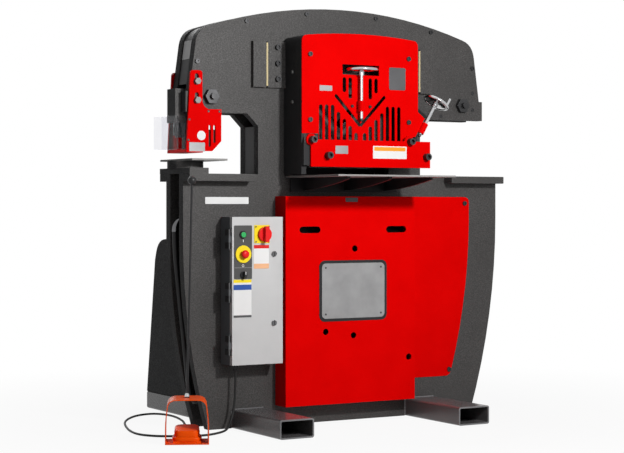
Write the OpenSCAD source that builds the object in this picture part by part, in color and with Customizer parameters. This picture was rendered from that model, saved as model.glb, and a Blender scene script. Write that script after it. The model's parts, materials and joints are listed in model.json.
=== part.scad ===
// Hydraulic ironworker: two arched side plates, a ram beam sliding between them,
// a punch station, an angle and flat bar shear, an open tool station and a foot switch.
// Origin on the floor, midway between the plates and under the crown of the arch.
// X runs along the plates, Y runs from the front to the back, Z is up.

/* [Frame plates] */
// Thickness of one side plate
plate_t = 38; // [32:1:44]
// Clear gap between the side plates
plate_gap = 82; // [76:1:96]
// Height of the table ledges
ledge_z = 1030; // [1000:1:1060]
// Height of the throats above the ledges
throat_h = 247; // [240:1:255]
// Height of the end block of each upper arm
arm_end_h = 84; // [76:1:92]
// Height of the sloping side of each upper arm
arm_side_h = 193; // [180:1:205]
// Rise of the crown above the shoulders
crown_rise = 171; // [150:1:190]
// Radius of the arch
arch_r = 2040; // [1900:10:2300]
// Half width at which the arch meets the shoulder curve
arch_end = 624; // [610:1:640]
// Half width at the shoulder
shoulder_half = 683; // [675:1:695]
// How far the end block stands out from the sloping side
arm_end_proud = 17; // [12:1:24]
// Half width of the waist between the throats
waist_half = 398; // [385:1:410]
// Chamfer in the top corner of each throat
throat_chamfer = 50; // [30:1:60]
// How far the lower frame reaches past the left shoulder
left_out = 55; // [47:1:75]
// How far the lower frame reaches past the right shoulder
right_out = 118; // [100:1:145]
// Radius of the swept lower sides
side_r = 2700; // [2500:10:3000]
// Height where the left side starts to sweep in
sweep_left_z = 770; // [700:5:850]
// Height where the right side starts to sweep in
sweep_right_z = 850; // [780:5:920]

/* [Fork tubes] */
// Width of a fork tube
tube_w = 152.4; // [140:0.1:170]
// Height of a fork tube
tube_h = 76.2; // [70:0.1:85]
// Wall of a fork tube
tube_wall = 6.4; // [4:0.1:10]
// Distance between the tube centres
tube_pitch = 839; // [820:1:860]
// Reach of the tubes in front of the mid plane
tube_front = 480; // [440:1:520]
// Reach of the tubes behind the mid plane
tube_rear = 739; // [735:1:780]

/* [Ram and cylinder] */
// Stroke of the ram
stroke = 45; // [40:1:47]
// Side gap between ram and side plate
ram_gap = 3; // [2:0.1:4]
// Drop from the shoulders to the top of the ram beam
ram_drop = 64; // [50:1:80]
// Outer diameter of the cylinder barrel
barrel_d = 170; // [160:1:180]
// Bore of the cylinder
barrel_bore = 140; // [125:1:145]
// Diameter of the cylinder rod
rod_d = 80; // [60:1:90]
// Height of the seat of the barrel
barrel_seat = 300; // [280:1:320]
// Diameter of the gib screws
gib_d = 24; // [20:1:27]

/* [Punch station] */
// Distance of the punch axis from the left end of the frame
punch_in = 48; // [44:1:53]
// Diameter of the punch tip
punch_d = 28; // [20:1:34]
// Diameter of the coupling nut
coupling_d = 96; // [80:1:100]
// Gap between the raised punch tip and the top of the die
punch_lift = 40; // [36:1:40]
// Thickness of the stripper side plates
stripper_t = 10; // [8:1:12]
// Travel of the stripper
stripper_travel = 22; // [15:1:22]
// Gap between the die and the stripper at rest
stripper_gap = 25; // [24:1:28]
// Diameter of the die holder
die_holder_d = 146; // [130:1:150]
// Diameter of the die
die_d = 70; // [60:1:80]
// Height of the die above the ledge
die_h = 60; // [56:1:64]
// Thickness of the die table plate
die_table_t = 8; // [6:0.5:10]
// Thickness of the die base
die_base_t = 23; // [18:1:28]
// Thickness of the clear guard
clear_t = 4; // [3:0.5:5]

/* [Shear station] */
// Distance of the upper guard face from the frame
guard_reach = 150; // [140:1:160]
// Thickness of the upper guard
guard_t = 4; // [3:0.5:6]
// Width of the upper guard
guard_w = 564; // [556:1:572]
// Height of the point of the angle slot above the ledges
vee_rise = 201; // [198:1:204]
// Rise of the upper guard above the point of the angle slot
guard_rise = 379; // [370:1:390]
// Length of each leg of the angle slot
vee_leg = 168; // [150:1:172]
// Width of the angle slot
vee_w = 14; // [11:0.5:16]
// Wall of the shear housing
housing_wall = 12; // [8:1:16]
// Thickness of the lower guard plate
lower_guard_t = 10; // [8:1:14]
// Gap between the upper guard face and the back of the lower guard
lower_guard_gap = 15; // [13:1:20]
// Width of the flat bar opening
flat_w = 470; // [440:1:480]
// Drop from the ledges to the flat bar lower blade edge
flat_drop = 5; // [2:1:10]
// Clear height of the flat bar opening
flat_h = 37; // [34:1:37]
// Reach of the shear table in front of the frame
table_reach = 423; // [400:1:440]
// Thickness of the shear table
table_t = 7; // [5:0.5:10]

/* [Hold-down screws] */
// Diameter of the hold-down stems
stem_d = 14; // [12:0.5:16]
// Radial clearance of a stem in its bush
stem_fit = 0.1; // [0.05:0.01:0.1]
// Diameter of the vertical handwheel
wheel_d = 142; // [130:1:150]
// Diameter of the inclined handwheel
tilt_wheel_d = 116; // [100:1:120]
// Tilt of the inclined stem
tilt_a = 31; // [28:0.5:34]

/* [Covers] */
// Sheet thickness of the covers
sheet = 3; // [2:0.5:4]
// Depth of the front cover
cover_depth = 87; // [70:1:95]
// Gap between the fork tubes and the front cover
cover_gap = 5.8; // [2:0.1:20]
// Drop from the ledges to the top of the front cover
cover_drop = 89; // [84:1:100]
// Height of the rear cover above the fork tubes
rear_cover_h = 681; // [660:1:710]

/* [Control box] */
// Width of the control box
box_w = 231; // [225:1:240]
// Height of the control box
box_h = 593; // [580:1:610]
// Depth of the control box behind its door
box_d = 78; // [60:1:90]
// Drop from the ledges to the top of the control box
box_drop = 173; // [160:1:185]
// Thickness of the door
door_t = 20; // [16:1:24]
// Radial clearance of knobs and buttons in their holes
knob_fit = 0.3; // [0.2:0.05:0.5]

/* [Foot switch] */
// Width of the foot guard
pedal_w = 166; // [150:1:180]
// Depth of the foot guard
pedal_d = 150; // [145:1:170]
// Height of the foot guard
pedal_h = 170; // [160:1:190]
// Thickness of the foot guard
pedal_t = 4; // [3:0.5:5]
// Height of the lifting rod above the guard
rod_h = 828; // [750:1:870]
// Diameter of the foot switch cord
cord_d = 9; // [7:0.5:9.5]

/* [Hidden] */
$fn = 48;

// Clearances, and how far joined and cutting shapes run past a face
seat = 0.2;
run_gap = 0.3;
pin_fit = 0.05;
lap = 1;

// Frame levels and widths
face_y = plate_gap / 2 + plate_t;
gap_y = [-plate_gap / 2, plate_gap / 2];
arm_z = ledge_z + throat_h;
step_z = arm_z + arm_end_h;
shoulder_z = step_z + arm_side_h;
frame_h = shoulder_z + crown_rise;
side_slope = 0.14;
corner_rise = 57;
function side_x(z) = shoulder_half + side_slope * (shoulder_z - z);
function arch_z(x, inset = 0) = frame_h - arch_r + sqrt(pow(arch_r - inset, 2) - x * x);
step_half = side_x(step_z) + arm_end_proud;
lower_left = shoulder_half + left_out;
lower_right = shoulder_half + right_out;
tube_mid = -24;
tube_x = [tube_mid - tube_pitch / 2, tube_mid + tube_pitch / 2];
bar_proud = 60;
bar_h = 30;

// Shear levels
flat_z = ledge_z - flat_drop;
flat_edge = flat_z + flat_h;
blade_h = 36;
blade_t = 18;
window_z0 = flat_z - 25;
vee_z = ledge_z + vee_rise;
angle_half = 140;
angle_z = [vee_z - 31, vee_z + 141];

// Ram and cylinder levels
ram_t = plate_gap - 2 * ram_gap;
ram_top = shoulder_z - ram_drop;
ram_bottom = flat_edge + 4;
ram_half = shoulder_half - 28;
ram_mid_half = waist_half - 38;
ram_arm_z = arm_z + stroke - 2;
ram_step_z = step_z + 11;
gib_x = ram_half - 40;
gib_z = step_z - 20;
yoke_half = ram_mid_half - 15;
yoke_bar = 60;
yoke_z = [ledge_z - 180, ledge_z - 100];
bolster_z = [yoke_z[1] + 20, flat_edge - stroke - 7];
barrel_top = yoke_z[0] - stroke - 5;
barrel_floor = 25;
mount_t = 40;
cyl_win_half = barrel_d / 2 + 15;
cyl_win_gap = 10;
gland_h = 30;
piston_h = 60;
port_d = 30;
port_x = 40;
port_y = barrel_d / 2 + 10;
port_z = [barrel_top - 75, barrel_seat + 50];

// Punch levels
punch_x = lower_left - punch_in;
die_z = ledge_z + die_h;
die_floor = ledge_z + 12;
die_base_top = ledge_z + die_base_t;
tip_z = die_z + punch_lift;
stripper_z = die_z + stripper_gap;
stripper_y = face_y + run_gap;
foot_t = 12;
coupling_z = stripper_z + foot_t + stroke + 6;
coupling_seat = coupling_z + 30;
shank_d = punch_d + 12;
ram_end = punch_x + 63;
ram_foot = arm_z - 42;
bolt_z = [arm_z + 123, arm_z + 47];
bolt_x = 8 - punch_x;
bolt_slot = 17;

// Shear housing and guards
guard_mid = 4;
guard_x = [guard_mid - guard_w / 2, guard_mid + guard_w / 2];
guard_y = -face_y - guard_reach;
guard_back = guard_y + guard_t;
guard_top = vee_z + guard_rise;
lower_back = guard_y - lower_guard_gap;
lower_face = lower_back - lower_guard_t;
lower_z = [flat_edge - 2, flat_edge + 109];
lower_x = [-250, 332];
lower_ear_r = 24;
lower_bolts = [
    [lower_x[0] + 3, lower_z[1] - 1], [lower_x[1] - 104, lower_z[1] - 1],
    [lower_x[0] + 78, lower_z[1] - 64], [lower_x[1] - 24, lower_z[1] - 64]];
house_z0 = lower_z[1] - 14;
post_x = [[guard_x[0], lower_x[0] + 120], [lower_x[1] - 125, lower_x[1]]];
gib_cx = 9;
strip_in = 370;
strip_w = 8;
strip_z = [guard_top - 224, guard_top - 35];
flange_t = 14;
gib_plate_t = 18;
gib_plate_w = 60;

// Hold-down screws
stem_x = -6;
stem_y = guard_y - 18;
wheel_z = vee_z + 231;
wheel_win = [178, 42];
wheel_win_x = 3;
rim_d = 13;
hub_drop = 20;
bush_d = 26;
bush_z = [vee_z + 58, vee_z + 103];
pad_tip_z = vee_z + 18;
pad_h = 12;
tilt_tip = [guard_x[1] + 2, lower_z[1] + 22];
tilt_y = guard_y - 4;
tilt_len = 170;
tilt_bush = [16, 64];

// Control box and what stands on its door
box_x = -569;
box_z = ledge_z - box_drop - box_h;
box_top = box_z + box_h;
box_wall = 2;
box_front = -face_y - box_d;
door_back = box_front - run_gap;
door_face = door_back - door_t;
hinge_x = box_x - 7;
hinge_y = door_back - door_t / 2;
hinge_z = [box_z + 79, box_z + box_h / 2 - 5, box_top - 88];
knuckle_d = 12;
knuckle_h = 26;
hinge_pin_d = 6;
panel_t = 2;
panel_x = [box_x + 8, box_x + 89];
panel_z = [box_top - 249, box_top - 34];
start_at = [box_x + 47, box_top - 71];
stop_at = [box_x + 48, box_top - 149];
select_at = [box_x + 50, box_top - 232];
isolator_at = [box_x + 144, box_top - 70];
isolator_plate = [box_x + 99, box_x + 170, box_top - 106, box_top - 33];
start_d = 22;
stop_stem_d = 16;
knob_stem_d = 12;
latch_stem_d = 10;
start_travel = 4;
stop_travel = 6;
ring_t = 5;
latch_x = box_x + 190;
latch_z = [box_top - 149, box_z + 165];
gland_at = [box_x + 45, box_front + 37];
gland_len = 26;
gland_stem_d = 16;

// Foot switch and the route of its cord over the floor
pedal_at = [-886, -418];
pedal_yaw = 26;
pedal_out = [sin(pedal_yaw), cos(pedal_yaw)];
pedal_lead = [152, 18];
pivot_at = [130, 34];
pivot_d = 8;
cord_route = [
    [-730, -145, 11], [-685, -40, 6], [-650, 80, 5], [-600, 215, 5], [-570, 350, 5],
    [-575, 445, 5], [-615, 490, 5], [-690, 465, 5], [-770, 380, 5], [-840, 260, 5],
    [-900, 100, 5], [-930, -20, 5], [-930, -100, 5], [-900, -160, 5], [-850, -200, 5],
    [-790, -230, 5], [-720, -240, 5], [-650, -210, 5], [-595, -170, 8], [-562, -140, 24],
    [-542, -124, 52], [-531, -120, 92], [-526, -120, 145]];

// Small shapes
module on_xz(y0, t) {
    translate([0, y0 + t, 0]) rotate([90, 0, 0]) linear_extrude(t) children();
}
module on_yz(x0, t) {
    translate([x0, 0, 0]) rotate([90, 0, 90]) linear_extrude(t) children();
}
module slab(x, y, z) {
    translate([x[0], y[0], z[0]]) cube([x[1] - x[0], y[1] - y[0], z[1] - z[0]]);
}
module to_front(x, y, z) {
    translate([x, y, z]) rotate([90, 0, 0]) children();
}
module to_back(x, y, z) {
    translate([x, y, z]) rotate([-90, 0, 0]) children();
}
module to_right(x, y, z) {
    translate([x, y, z]) rotate([0, 90, 0]) children();
}
module both_faces(x, y, z) {
    for (a = [0, 180]) rotate([0, 0, a]) to_front(a == 0 ? x : -x, y, z) children();
}
module hex_bar(across, h) {
    cylinder(d = across / cos(30), h = h, $fn = 6);
}
module slot_2d(p, w, len) {
    translate(p) square([w, len], center = true);
    for (s = [-1, 1]) translate([p[0], p[1] + s * len / 2]) circle(d = w);
}
module rounded_2d(x, z, r) {
    translate([x[0] + r, z[0]]) square([x[1] - x[0] - 2 * r, z[1] - z[0]]);
    translate([x[0], z[0] + r]) square([x[1] - x[0], z[1] - z[0] - 2 * r]);
    for (a = [x[0] + r, x[1] - r], b = [z[0] + r, z[1] - r]) translate([a, b]) circle(r);
}
module socket_head(size) {
    socket = 0.55;
    difference() {
        cylinder(d = size[0], h = size[1]);
        translate([0, 0, size[1] / 2]) hex_bar(size[0] * socket, size[1]);
    }
}
function unit(v) = v / norm(v);
function bez(a, b, c, n = 6) =
    [for (i = [0:n]) let (t = i / n) (1 - t) * (1 - t) * a + 2 * t * (1 - t) * b + t * t * c];
function flip(p) = [for (i = [len(p) - 1:-1:0]) [-p[i][0], p[i][1]]];
function back(p) = [for (i = [len(p) - 1:-1:0]) p[i]];
function span(a, b) = [min(a, b), max(a, b)];

// Outline of the side plates
function shoulder(d = 0) = bez(
    [shoulder_half - d, shoulder_z],
    [shoulder_half - side_slope * corner_rise - d, shoulder_z + corner_rise - d],
    [arch_end - d, arch_z(arch_end - d, d)]);
function arch(d = 0, n = 16) = let (half = arch_end - d)
    [for (i = [1:n - 1]) let (x = half - 2 * half * i / n) [x, arch_z(x, d)]];
function sweep(reach, top, n = 8) = let (centre = reach - side_r)
    [for (i = [0:n]) let (z = top * i / n) [centre + sqrt(side_r * side_r - pow(top - z, 2)), z]];
function upper_right() = [
    [waist_half, ledge_z], [waist_half, arm_z - throat_chamfer],
    [waist_half + throat_chamfer, arm_z], [step_half, arm_z],
    [step_half, step_z], [side_x(step_z), step_z]];
function frame_outline() = concat(
    sweep(lower_right, sweep_right_z), [[lower_right, ledge_z]], upper_right(),
    shoulder(), arch(), flip(shoulder()), flip(upper_right()),
    [[-lower_left, ledge_z]], flip(sweep(lower_left, sweep_left_z)));
module window(half, z) {
    translate([-half, z[0]]) square([2 * half, z[1] - z[0]]);
}
module frame_profile() {
    difference() {
        polygon(frame_outline());
        for (x = tube_x) translate([x, 0]) window(tube_w / 2 + seat, [-lap, tube_h + seat]);
        window(flat_w / 2, [window_z0, flat_edge]);
        window(angle_half, angle_z);
        window(cyl_win_half, [barrel_seat - cyl_win_gap, barrel_top + cyl_win_gap]);
        for (s = [-1, 1]) translate([s * gib_x, gib_z]) circle(d = gib_d + 2 * seat);
    }
}
module front_frame_plate() {
    color("dimgray") on_xz(-face_y, plate_t) frame_profile();
}
module rear_frame_plate() {
    color("dimgray") on_xz(plate_gap / 2, plate_t) frame_profile();
}

// Base tie, cylinder mount and shear bolster between the plates
base_half = 300;
base_t = 40;
mount_half = cyl_win_half + 60;
bolster_half = flat_w / 2 + 5;
module frame_spacers() {
    color("dimgray") {
        slab([-base_half, base_half], gap_y, [0, base_t]);
        slab([-mount_half, mount_half], gap_y, [barrel_seat - mount_t, barrel_seat]);
        slab([-bolster_half, bolster_half], gap_y, bolster_z);
    }
}

// Bent cover inside the arch and the two throat liners
band_inset = 5;
band_t = 4;
band_z0 = step_z + 30;
liner_in = 8;
liner_t = 6;
function band_edge(d) = concat(
    [[side_x(band_z0) - d, band_z0]], shoulder(d), arch(d), flip(shoulder(d)),
    [[d - side_x(band_z0), band_z0]]);
module inner_covers() {
    color("black") {
        on_xz(gap_y[0], plate_gap)
            polygon(concat(band_edge(band_inset), back(band_edge(band_inset + band_t))));
        for (s = [-1, 1])
            slab(span(s * (waist_half - liner_in), s * (waist_half - liner_in + liner_t)), gap_y,
                [ledge_z, arm_z - throat_chamfer]);
    }
}

module fork_tube(x) {
    y = [-tube_front, tube_rear];
    half = tube_w / 2;
    inner = half - tube_wall;
    color("dimgray") difference() {
        slab([x - half, x + half], y, [0, tube_h]);
        slab([x - inner, x + inner], y + [-lap, lap], [tube_wall, tube_h - tube_wall]);
    }
}
module left_fork_tube() fork_tube(tube_x[0]);
module right_fork_tube() fork_tube(tube_x[1]);

// Support bars on both faces of each ledge
left_bar_x = [-lower_left, -waist_half - 42];
right_bar_x = [waist_half + 125, lower_right];
module table_bars() {
    color("dimgray") for (s = [-1, 1], x = [left_bar_x, right_bar_x])
        slab(x, span(s * face_y, s * (face_y + bar_proud)), [ledge_z - bar_h, ledge_z]);
}

// Every fixed bolt and screw: diameter and height of each head
edge_head = [18, 7];
flange_head = [24, 12];
guard_head = [20, 6];
lower_head = [29, 26];
washer_d = 27;
washer_t = 3;
edge_in = 20;
side_in = 17;
edge_bolts = concat(
    [for (x = [-452, -170, 170, 452]) [x, arch_z(x) - edge_in]],
    [for (s = [-1, 1]) let (z = shoulder_z - 60 + 13 * s) [s * (side_x(z) - side_in), z]]);
flange_drops = [23, 89, 153];
flange_bolt_x = strip_in - 46;
guard_screw_x = [guard_x[0] + 38, guard_x[1] - 48];
guard_screw_z = [vee_z + 21, guard_top - 92];
module stripper_bolt() {
    grip = stripper_t + 2 * run_gap;
    cylinder(d = bolt_slot - 2, h = grip);
    translate([0, 0, grip]) cylinder(d = washer_d, h = washer_t);
    translate([0, 0, grip + washer_t]) hex_bar(24, 11);
}
module frame_bolts() {
    color("black") {
        for (p = edge_bolts) both_faces(p[0], -face_y, p[1]) socket_head(edge_head);
        for (s = [-1, 1], d = flange_drops)
            to_front(gib_cx + s * flange_bolt_x, -face_y - flange_t, strip_z[1] - d)
                socket_head(flange_head);
        for (x = guard_screw_x, z = guard_screw_z) to_front(x, guard_y, z) socket_head(guard_head);
        for (p = lower_bolts) to_front(p[0], lower_face, p[1]) socket_head(lower_head);
        for (p = wing_screws) to_front(p[0], -face_y - sheet, p[1]) socket_head(guard_head);
        for (z = bolt_z) both_faces(bolt_x, -face_y, z) stripper_bolt();
    }
}

// Adjusting screws with their lock nuts, and pads that guide the ram
gib_nut_w = 56;
gib_nut_h = 20;
gib_pad_d = 60;
gib_end = 14;
module gib_screws() {
    pad_t = ram_gap - run_gap;
    nut_z = pad_t + plate_t;
    color("black") for (x = [-gib_x, gib_x])
        both_faces(x, gap_y[0] + pad_t, gib_z) {
            cylinder(d = gib_pad_d, h = pad_t);
            cylinder(d = gib_d, h = nut_z + gib_nut_h + gib_end);
            translate([0, 0, nut_z]) difference() {
                hex_bar(gib_nut_w, gib_nut_h);
                translate([0, 0, -lap]) cylinder(d = gib_d + 2 * seat, h = gib_nut_h + 2 * lap);
            }
        }
}

// Fixed blades: flat bar blade and angle blade in the front plate
module lower_blades() {
    notch_z = vee_z - vee_w;
    half = angle_half - seat;
    color("silver") {
        slab([seat - flat_w / 2, flat_w / 2 - seat], [-face_y, gap_y[0]], [window_z0, flat_z]);
        on_xz(-face_y, plate_t) polygon([
            [-half, angle_z[0]], [half, angle_z[0]], [half, notch_z + half], [0, notch_z],
            [-half, notch_z + half]]);
    }
}

// Punch bed: base plate on the ledge with a round die holder
die_base_w = 84;
die_table_x = [6 - lower_left, 164 - lower_left];
die_table_half = 148;
module die_base() {
    bed_y = face_y + bar_proud;
    holder_z = die_base_top - lap;
    color("dimgray") difference() {
        union() {
            slab([-lower_left, die_base_w - lower_left], [-bed_y, bed_y], [ledge_z, die_base_top]);
            translate([-punch_x, 0, holder_z])
                cylinder(d = die_holder_d, h = die_z - die_table_t - holder_z);
        }
        translate([-punch_x, 0, die_floor]) cylinder(d = die_d + 2 * seat, h = die_h);
        translate([-punch_x, 0, ledge_z - lap]) cylinder(d = die_d - 20, h = die_h);
    }
}
module punch_die() {
    die_len = die_z - die_floor;
    land = 12;
    color("silver") translate([-punch_x, 0, die_floor]) difference() {
        cylinder(d = die_d, h = die_len);
        translate([0, 0, -lap]) cylinder(d = punch_d + 1.2, h = die_len + 2 * lap);
        translate([0, 0, -lap]) cylinder(d = punch_d + 8, h = die_len - land + lap);
    }
}
module die_table() {
    color("dimgray") difference() {
        slab(die_table_x, [-die_table_half, die_table_half], [die_z - die_table_t, die_z]);
        translate([-punch_x, 0, die_z - 2 * die_table_t])
            cylinder(d = die_d + 2 * seat, h = 3 * die_table_t);
    }
}

// Moving ram
nose_w = 108;
ram_right = step_half - 12;
ram_window_side = 10;
ram_window_top = 35;
function ram_outline() = [
    [-ram_end, ram_foot], [nose_w - ram_end, ram_foot], [nose_w - ram_end, ram_arm_z],
    [-ram_mid_half, ram_arm_z], [-ram_mid_half, ram_bottom], [ram_mid_half, ram_bottom],
    [ram_mid_half, ram_arm_z], [ram_right, ram_arm_z], [ram_right, ram_step_z],
    [ram_half, ram_step_z], [ram_half, ram_top], [-ram_half, ram_top],
    [-ram_half, ram_step_z], [-ram_end, ram_step_z]];
module ram_beam() {
    pocket_half = flat_w / 2 + seat;
    color("dimgray") difference() {
        on_xz(-ram_t / 2, ram_t) difference() {
            polygon(ram_outline());
            window(angle_half + ram_window_side, [angle_z[0] + 5, angle_z[1] + ram_window_top]);
        }
        slab([-pocket_half, pocket_half], [-ram_t, blade_t - ram_t / 2],
            [ram_bottom - lap, ram_bottom + blade_h]);
    }
}
module upper_blades() {
    blade_half = flat_w / 2;
    top = angle_z[1] + ram_window_top;
    side = angle_half - 10;
    tip = vee_z + 24;
    color("silver") {
        slab([-blade_half, blade_half], [-ram_t / 2, blade_t - ram_t / 2 - seat],
            [flat_edge, ram_bottom + blade_h]);
        on_xz(-ram_t / 2, 24)
            polygon([[-side, top], [-side, tip + side], [0, tip], [side, tip + side], [side, top]]);
    }
}
module punch_coupling() {
    boss_h = 8;
    coupling_h = ram_foot - coupling_z;
    color("dimgray") translate([-punch_x, 0, coupling_z]) difference() {
        union() {
            cylinder(d = coupling_d * 0.8, h = coupling_h);
            translate([0, 0, boss_h]) cylinder(d = coupling_d, h = coupling_h - boss_h);
        }
        translate([0, 0, -lap]) cylinder(d = shank_d + 2 * seat, h = coupling_seat - coupling_z + lap);
        for (a = [0:45:315]) rotate([0, 0, a]) translate([coupling_d / 2, 0, coupling_h / 2])
            cube([12, 10, 24], center = true);
    }
}
module punch() {
    color("silver") translate([-punch_x, 0, 0]) {
        translate([0, 0, tip_z]) cylinder(d = punch_d, h = coupling_seat - tip_z);
        translate([0, 0, coupling_z]) cylinder(d = shank_d, h = coupling_seat - coupling_z);
    }
}

// Crosshead under the ram, pulled down by the cylinder
module pull_yoke() {
    half_t = ram_t / 2 - 4;
    y = [-half_t, half_t];
    color("dimgray") {
        slab([-yoke_half, yoke_half], y, yoke_z);
        for (s = [-1, 1])
            slab(span(s * yoke_half, s * (yoke_half - yoke_bar)), y, [yoke_z[1] - lap, ram_bottom]);
    }
}
module cylinder_rod() {
    piston_z = barrel_top - gland_h - piston_h - 40;
    color("silver") translate([0, 0, piston_z]) {
        cylinder(d = rod_d, h = yoke_z[0] - piston_z);
        cylinder(d = barrel_bore - 2 * pin_fit, h = piston_h);
    }
}
module cylinder_barrel() {
    barrel_h = barrel_top - barrel_seat;
    port_root = barrel_d / 2 - 16;
    color("dimgray") difference() {
        union() {
            translate([0, 0, barrel_seat]) cylinder(d = barrel_d, h = barrel_h);
            for (z = port_z) to_back(port_x, port_root, z) cylinder(d = port_d, h = port_y - port_root);
        }
        translate([0, 0, barrel_seat + barrel_floor]) {
            cylinder(d = barrel_bore, h = barrel_h - barrel_floor - gland_h);
            cylinder(d = rod_d + 2 * pin_fit, h = barrel_h);
        }
    }
}

// Stripper: two side plates, a foot plate and a clear guard that slide together
stripper_x = [-punch_x - 38, 35 - punch_x];
stripper_side = 118 - punch_x;
stripper_neck = [60 - punch_x, 33 - punch_x];
stripper_neck_z = arm_z + 13;
stripper_top = arm_z + 167;
stripper_r = 12;
function stripper_outline() = concat(
    [[stripper_x[0], stripper_z], [stripper_x[1], stripper_z], [stripper_x[1], stripper_z + 6],
     [77 - punch_x, stripper_z + 6], [stripper_side, stripper_z + 47],
     [stripper_side, stripper_neck_z], [stripper_neck[0], stripper_neck_z]],
    bez([stripper_neck[0], stripper_neck_z], [stripper_neck[1], stripper_neck_z + 10],
        [stripper_neck[1], stripper_neck_z + 35], 4),
    bez([stripper_neck[1], stripper_top - stripper_r], [stripper_neck[1], stripper_top],
        [stripper_neck[1] - stripper_r, stripper_top], 4),
    bez([-punch_x - 8, stripper_top], [-punch_x - 19, stripper_top],
        [-punch_x - 21, stripper_top - stripper_r], 4));
module stripper_plate(y0) {
    on_xz(y0, stripper_t) difference() {
        polygon(stripper_outline());
        for (z = bolt_z)
            slot_2d([bolt_x, z + stripper_travel / 2], bolt_slot, stripper_travel + 2);
        slot_2d([66 - punch_x, stripper_z + 67], 10, 78);
        slot_2d([87 - punch_x, stripper_z + 75], 10, 62);
    }
}
module stripper_foot() {
    difference() {
        slab([stripper_x[0], stripper_x[1] + 5], [-stripper_y, stripper_y],
            [stripper_z, stripper_z + foot_t]);
        translate([-punch_x, 0, stripper_z - lap]) cylinder(d = punch_d + 10, h = foot_t + 2 * lap);
    }
}
module stripper_front_plate() {
    color("red") {
        stripper_plate(-stripper_y - stripper_t);
        stripper_foot();
    }
}
module stripper_rear_plate() {
    color("red") stripper_plate(stripper_y);
}
clear_x = punch_x + coupling_d / 2 + 21;
clear_z = [stripper_z + foot_t, arm_z - 15];
clear_lip = 15;
clear_flap = 34;
module clear_guard() {
    inner_y = stripper_y - clear_t;
    color("lightcyan", 0.4) {
        slab([-clear_x - clear_t, -clear_x], [-stripper_y, stripper_y], clear_z);
        for (s = [-1, 1])
            slab([-clear_x, -punch_x - clear_lip], span(s * inner_y, s * stripper_y), clear_z);
        slab([-clear_x - clear_flap, -clear_x - clear_t], [inner_y, stripper_y], clear_z);
    }
}

// Shear housing: arched walls, two lower posts and the bolted side flanges
guard_corner_r = 26;
guard_crown = 15;
function guard_arch(d = 0) =
    let (x0 = guard_x[0] + d, x1 = guard_x[1] - d, r = guard_corner_r, z = guard_top - d - guard_crown)
    concat(
        bez([x1, z - r], [x1, z], [x1 - r, z + 1], 4),
        [for (i = [1:7]) let (t = i / 8)
            [x1 - r + (x0 - x1 + 2 * r) * t, z + 1 + (guard_crown - 1) * 4 * t * (1 - t)]],
        bez([x0 + r, z + 1], [x0, z], [x0, z - r], 4));
function housing_outline(d, z) = concat([[guard_x[0] + d, z], [guard_x[1] - d, z]], guard_arch(d));
side_post_w = 22;
module shear_housing() {
    wall_y = [guard_back, -face_y];
    color("black") {
        on_xz(guard_back, -face_y - guard_back) difference() {
            polygon(housing_outline(0, house_z0));
            polygon(housing_outline(housing_wall, house_z0 - lap));
        }
        for (x = post_x) slab(x, [lower_back, -face_y], [ram_bottom, house_z0 + lap]);
        slab([guard_x[0], guard_x[0] + side_post_w], wall_y, [flat_z + 5, ram_bottom + lap]);
        for (s = [-1, 1])
            slab(span(s < 0 ? guard_x[0] : guard_x[1], gib_cx + s * strip_in),
                [-face_y - flange_t, -face_y], strip_z);
    }
}
module gib_plates() {
    x = strip_in + strip_w;
    color("dimgray") for (s = [-1, 1])
        slab(span(gib_cx + s * x, gib_cx + s * (x + gib_plate_w)),
            [-face_y - gib_plate_t, -face_y], strip_z);
}
module wear_strips() {
    short = 6;
    color("wheat") for (s = [-1, 1])
        slab(span(gib_cx + s * strip_in, gib_cx + s * (strip_in + strip_w)),
            [-face_y - gib_plate_t, -face_y], strip_z + [short, -short]);
}

// Red guard with the angle slot, the viewing slots and the handwheel window
slot_w = 17;
slot_pitch = 28.2;
slot_first = 20.5;
slot_floor = lower_z[1] - 3;
slot_top = vee_z - 33;
short_slots = [[2, vee_z + 168, 44], [1, vee_z + 155, 70]];
vee_half_a = 44;
skirt_x = [-200, 240];
skirt_z = lower_z[1] + 25;
function guard_tab() = let (x = tilt_tip[0], z = tilt_tip[1] - lap)
    [[skirt_x[1], z], [x + 7, z], [x + 39, z + 72], [guard_x[1], z + 105]];
module upper_guard() {
    color("red") difference() {
        on_xz(guard_y, guard_t) guard_face();
        on_tilt() cylinder(d = bush_d + 2 * seat, h = tilt_len, center = true);
    }
}
module guard_face() {
    difference() {
        polygon(concat(
            [[guard_x[0], skirt_z], [skirt_x[0], skirt_z], [skirt_x[0], slot_floor - 8],
             [skirt_x[1], slot_floor - 8]],
            guard_tab(), guard_arch()));
        for (s = [-1, 1]) {
            for (i = [0:6]) let (top = slot_top + slot_pitch * min(i, 4))
                slot_2d([s * (slot_first + slot_pitch * i), (top + slot_floor) / 2], slot_w,
                    top - slot_floor - slot_w / 2);
            for (p = short_slots)
                slot_2d([s * (slot_first + p[0] * slot_pitch), p[1]], slot_w, p[2]);
            translate([0, vee_z]) rotate(90 - s * vee_half_a) {
                translate([0, -vee_w / 2]) square([vee_leg, vee_w]);
                translate([vee_leg, 0]) circle(d = vee_w);
            }
        }
        translate([wheel_win_x - wheel_win[0] / 2, wheel_z - wheel_win[1] / 2]) square(wheel_win);
    }
}
module lower_guard() {
    color("red") on_xz(lower_face, lower_guard_t) {
        translate([lower_x[0], lower_z[0]])
            square([lower_x[1] - lower_x[0], lower_z[1] - lower_z[0]]);
        for (i = [0, 1]) translate(lower_bolts[i]) circle(lower_ear_r);
    }
}

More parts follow.
